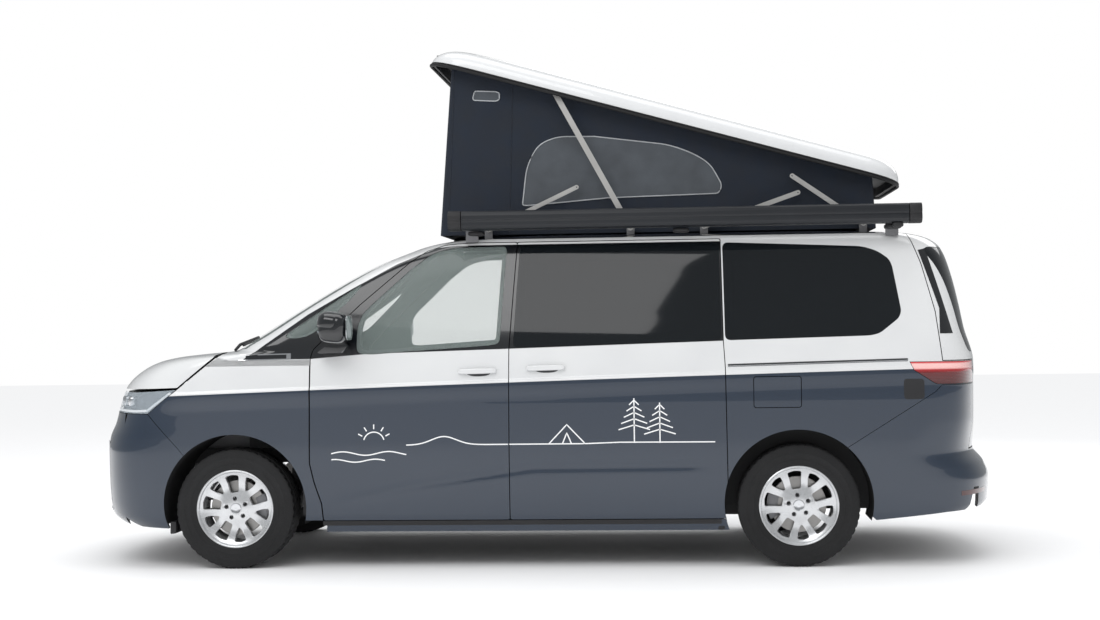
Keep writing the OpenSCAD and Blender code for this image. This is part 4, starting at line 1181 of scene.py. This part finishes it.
for face_of in roof.data.polygons[len(faces) - 2 * n_loop - 1:]:
    face_of.material_index = 1
piece(soft_edges(roof, 40), "pop_roof", "pop_roof")


def round_rim(shift, out, up):
    """A line round the roof's rim, moved along, outwards and up."""
    return ([raise_roof(x + shift, w + out, SEAL_Z + up) for x, w in rim]
            + [raise_roof(x + shift, -w - out, SEAL_Z + up) for x, w in rim[::-1]])


piece(tube("roof_seal", round_rim(0, -4, -3), 10, SEAL, closed=True, n=10), "pop_roof")
piece(tube("roof_edge_trim", round_rim(2, 1, 9), 4, SEAL, closed=True, n=8), "pop_roof")

# ---- tent --------------------------------------------------------------------------------

TENT_Y, TENT_LOW, TENT_REAR = 584.0, 1856.0, 1925.0


def tent_top(x):
    return POLE[1] + (POLE[0] - x) * math.tan(ROOF_ANGLE) + (SEAL_Z - POLE[1] + 60) / math.cos(ROOF_ANGLE) - 3


def tent_point(u, v, stand=0.0):
    """A point of the side wall: u from front to rear, v from foot to roof."""
    x_low = -545 + u * (TENT_REAR + 545)
    x_high = -465 + u * (TENT_REAR - 20 + 465)
    x = x_low + (x_high - x_low) * v
    z = TENT_LOW + (tent_top(x) - TENT_LOW) * v
    belly = math.sin(math.pi * v) * math.sin(math.pi * min(max(u, 0), 1)) ** 0.5
    fold = 2.2 * math.sin(u * 41 + 1.7 * math.sin(v * 5)) * math.sin(math.pi * v) + 1.2 * math.sin(v * 13 + u * 9)
    y = TENT_Y - 16 * belly + fold * min(1, 12 * u, 12 * (1 - u)) - 3
    return x, y + stand, z


def side_uv(x, z):
    """The u and v of a place on the side wall seen from the side."""
    v = 0.5
    for _ in range(12):
        x_at = lambda u: (-545 + u * (TENT_REAR + 545)) * (1 - v) + (-465 + u * (TENT_REAR + 445)) * v
        u = (x - x_at(0)) / (x_at(1) - x_at(0))
        v = min(max((z - TENT_LOW) / (tent_top(x) - TENT_LOW), 0), 1)
    return u, v


cols, rows_n, ends = 150, 44, 50
around = []
for k in range(cols + 1):
    around.append(("side", -1, k / cols))
for k in range(1, ends):
    around.append(("rear", 0, k / ends))
for k in range(cols + 1):
    around.append(("side", 1, 1 - k / cols))
for k in range(1, ends):
    around.append(("front", 0, k / ends))
verts, faces = [], []
for r in range(rows_n + 1):
    v = r / rows_n
    for kind, s, u in around:
        if kind == "side":
            x, y, z = tent_point(u, v)
            verts.append((x, s * y, z))
        else:
            x, y0, z = tent_point(1.0 if kind == "rear" else 0.0, v)
            y = -y0 + 2 * y0 * u if kind == "rear" else y0 - 2 * y0 * u
            sag = (10 if kind == "rear" else 14) * math.sin(math.pi * u) * math.sin(math.pi * v)
            fold = 3 * math.sin(u * 23) * math.sin(math.pi * v)
            verts.append((x + (-(sag) + fold if kind == "rear" else sag + fold), y, z))
n_a = len(around)
for r in range(rows_n):
    for k in range(n_a):
        j = (k + 1) % n_a
        faces.append((r * n_a + k, r * n_a + j, (r + 1) * n_a + j, (r + 1) * n_a + k))
tent = new_object("tent_walls", verts, faces, CANVAS)


def fold_with_roof(obj):
    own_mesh(obj)


piece(tent, "van_body", "tent_canvas", slot="canvas")
fold_with_roof(tent)


def on_tent(path, side, stand):
    out = []
    for x, z in path:
        u, v = side_uv(x, z)
        px, py, pz = tent_point(u, v, stand)
        out.append((px, side * py, pz))
    return out


big_window = [(-72, 2022), (-45, 2245), (22, 2368), (130, 2412), (345, 2408), (770, 2352), (905, 2300), (1000, 2240),
              (1066, 2118), (1048, 2070), (420, 2056), (-40, 2020)]
vent = [(-352, 2630), (-338, 2682), (-215, 2676), (-196, 2668), (-196, 2632), (-215, 2622)]
trims = []
for side, label in ((-1, "left"), (1, "right")):
    for name, outline, r in (("window", big_window, 60), ("vent", vent, 16)):
        shape = fillet(outline, r, 6, True)
        shape = [tuple(p) for p in shape]
        loop = resample(shape + [shape[0]], 14)[:-1]
        centre_x = sum(p[0] for p in loop) / len(loop)
        centre_z = sum(p[1] for p in loop) / len(loop)
        rings = 10
        pts = []
        for ring_k in range(rings + 1):
            f = 1 - ring_k / rings
            pts += [(centre_x + (p[0] - centre_x) * f, centre_z + (p[1] - centre_z) * f) for p in loop]
        vs = on_tent(pts, side, 1.6)
        n_r = len(loop)
        fs = [(k * n_r + i, k * n_r + (i + 1) % n_r, (k + 1) * n_r + (i + 1) % n_r, (k + 1) * n_r + i)
              for k in range(rings) for i in range(n_r)]
        mesh_obj = new_object("tent_%s_mesh_%s" % (name, label), vs, fs, MESH_GREY)
        piece(mesh_obj, "van_body")
        fold_with_roof(mesh_obj)
        cord_obj = tube("tent_%s_piping_%s" % (name, label), on_tent(loop, side, 3.0), 3.6, PIPING, closed=True, n=8)
        piece(cord_obj, "van_body")
        fold_with_roof(cord_obj)
        trims += [mesh_obj, cord_obj]
    for k, xs in enumerate(((-150, -118), (-500, -452))):
        seam_line = [(xs[0] + (xs[1] - xs[0]) * t, 1862 + (tent_top(xs[1]) - 1880) * t)
                     for t in np.linspace(0, 1, 30)]
        seam = on_tent(seam_line, side, 1.0)
        seam_obj = tube("tent_seam_%s_%d" % (label, k), seam, 2.4, CANVAS, n=6)
        piece(seam_obj, "van_body")
        fold_with_roof(seam_obj)
        trims.append(seam_obj)

# ---- awning ------------------------------------------------------------------------------

AWNING_Y, AWNING_Z = -858.0, 1921.0
case = [(-62, -30), (-50, -47), (-26, -55), (24, -55), (46, -50), (60, -36), (62.5, -8), (60, -2), (62.5, 4),
        (62, 30), (46, 50), (20, 55), (-36, 55), (-54, 46), (-62, 28), (-62.5, 6), (-59, 2), (-59, -4), (-62.5, -8)]
case_loop = fillet(case, 7, 3)


def awning_part(name, x0, x1, scale, material):
    pts = [(AWNING_Y + p[0] * scale, AWNING_Z + p[1] * scale) for p in case_loop]
    obj = prism(pts, x0, x1, "x")
    obj.name = name
    replaced = ["awning_case"] if name == "awning_cassette" else []
    return piece(soft_edges(bevel(obj, 2.5, 2, 50), 30), "van_body", *replaced, material=material)


awning_part("awning_cassette", -385, 2070, 0.985, ANTHRACITE)
awning_part("awning_end_cap_front", -460, -388, 1.0, BLACK)
awning_part("awning_end_cap_rear", 2073, 2140, 1.0, BLACK)
piece(puff("awning_crank_eye", (2010, -892, 1858), (60, 34, 30), BLACK, 3.0, 14), "van_body")
for k, x in enumerate((-340, 800, 1960)):
    piece(puff("awning_foot_%d" % k, (x + 30, -815, 1852), (90, 96, 26), BLACK, 5.0, 14), "van_body")

# ---- what stays as the CAD has it --------------------------------------------------------


def finish_nodes(material, *names):
    for name in names:
        mesh = NODES[name].data
        mesh.materials.clear()
        mesh.materials.append(material)


finish_nodes(CHASSIS, "floor_pan", "bulkhead", "front_subframe", "rear_axle", "knuckle_left", "knuckle_right")
finish_nodes(ALUMINIUM, "front_arms", "front_struts", "rear_links", "rear_stays")
finish_nodes(STEEL, "hinges_left", "hinges_right", "bonnet_hinges", "tailgate_hinges", "lid_hinge_brackets", "exhaust")
finish_nodes(CAST, "engine", "roof_brackets")
finish_nodes(BLACK, "dashboard", "steering_wheel", "hinge_posts")
finish_nodes(LAMINATE, "kitchen_unit")

# ---- seats -------------------------------------------------------------------------------


def padded_piece(name, centre, size, node, power=4.0, tilt=0.0, swell=0.16):
    obj = puff(name, centre, size, CAR_CLOTH, power, 26, tilt, swell)
    piece(obj, "van_body", *([node] if node else []), slot="seat_cloth")


for side, label in ((-1, "left"), (1, "right")):
    y = side * 400
    padded_piece("front_cushion_" + label, (-590, y, 700), (480, 470, 118), "front_seats" if side < 0 else None)
    for s in (-1, 1):
        padded_piece("front_bolster_%s_%d" % (label, s + 1), (-590, y + s * 205, 725), (460, 66, 110), None, 3.0)
    padded_piece("front_backrest_" + label, (-222, y, 985), (104, 420, 560), None, 4.0, 0.21, 0.05)
    for s in (-1, 1):
        padded_piece("front_back_wing_%s_%d" % (label, s + 1), (-236, y + s * 190, 950), (120, 64, 430), None, 3.0, 0.21)
    padded_piece("front_headrest_" + label, (-160, y, 1340), (92, 250, 150), None, 3.4, 0.21, 0.08)
    piece(puff("front_seat_base_" + label, (-590, y, 480), (400, 350, 310), BLACK, 8.0, 16), "van_body")
for k, y in enumerate((-130, 180, 490)):
    padded_piece("bench_cushion_%d" % k, (1140, y, 700), (480, 306, 118), "rear_bench" if k == 0 else None)
    padded_piece("bench_back_%d" % k, (1508, y, 985), (104, 300, 560), None, 4.0, 0.21, 0.05)
    padded_piece("bench_headrest_%d" % k, (1572, y, 1330), (86, 230, 140), None, 3.4, 0.21, 0.08)
piece(puff("bench_base", (1150, 180, 480), (400, 840, 310), BLACK, 8.0, 16), "van_body")
for obj in (shell, sheet_glass, cover):
    drop(obj)

# ---- studio ------------------------------------------------------------------------------

FLOOR = finish_of("studio_floor", (0.90, 0.905, 0.915), 0.3, grain=6, relief=0.0, vary=0.005)
for shader_node in FLOOR.node_tree.nodes:
    if shader_node.type == "BSDF_PRINCIPLED":
        shader_node.inputs["Specular IOR Level"].default_value = 0.0
floor_verts = [(-30000, -30000, 0), (30000, -30000, 0), (30000, 30000, 0), (-30000, 30000, 0)]
floor = new_object("floor", floor_verts, [(0, 1, 2, 3)], FLOOR, smooth=False)

world = bpy.data.worlds.new("studio")
world.use_nodes = True
bpy.context.scene.world = world
sky = world.node_tree
rays, chooser = sky.nodes.new("ShaderNodeLightPath"), sky.nodes.new("ShaderNodeMixShader")
lit, mirrored_sky = sky.nodes["Background"], sky.nodes.new("ShaderNodeBackground")
lit.inputs["Color"].default_value, lit.inputs["Strength"].default_value = (1.0, 1.0, 1.0, 1), 1.0
mirrored_sky.inputs["Color"].default_value, mirrored_sky.inputs["Strength"].default_value = (0.95, 0.98, 1.0, 1), 0.34
link(sky, rays.outputs["Is Glossy Ray"], chooser.inputs[0])
link(sky, lit.outputs[0], chooser.inputs[1])
link(sky, mirrored_sky.outputs[0], chooser.inputs[2])
link(sky, chooser.outputs[0], sky.nodes["World Output"].inputs["Surface"])
bpy.context.scene.view_settings.view_transform = "Standard"


def softbox(name, place, aim, size, power):
    data = bpy.data.lights.new(name, "AREA")
    data.shape = "RECTANGLE"
    data.size, data.size_y = size
    data.energy = power
    obj = bpy.data.objects.new(name, data)
    bpy.context.scene.collection.objects.link(obj)
    obj.location = place
    obj.rotation_euler = (Vector(aim) - Vector(place)).to_track_quat("-Z", "Y").to_euler()


softbox("key", (-2.5, -6.5, 6.5), (0, 0, 1.2), (7, 3), 170)
softbox("top", (0, 0, 8.0), (0, 0, 0), (9, 5), 190)
softbox("back", (3, 7, 5), (0, 0, 1), (8, 3), 110)

camera_data = bpy.data.cameras.new("camera")
camera = bpy.data.objects.new("camera", camera_data)
bpy.context.scene.collection.objects.link(camera)
bpy.context.scene.camera = camera
CAMERA_PLACE = Vector((0.84, -10.6, 1.36))
camera.location = CAMERA_PLACE
YAW, PITCH = math.radians(4.35), math.radians(0.35)
direction = Vector((-math.sin(YAW) * math.cos(PITCH), math.cos(YAW) * math.cos(PITCH), math.sin(PITCH)))
ROLL = Quaternion((0, 0, 1), math.radians(-0.8))
camera.rotation_euler = (direction.to_track_quat("-Z", "Y") @ ROLL).to_euler()
camera_data.lens = 57.6
camera_data.clip_end = 200
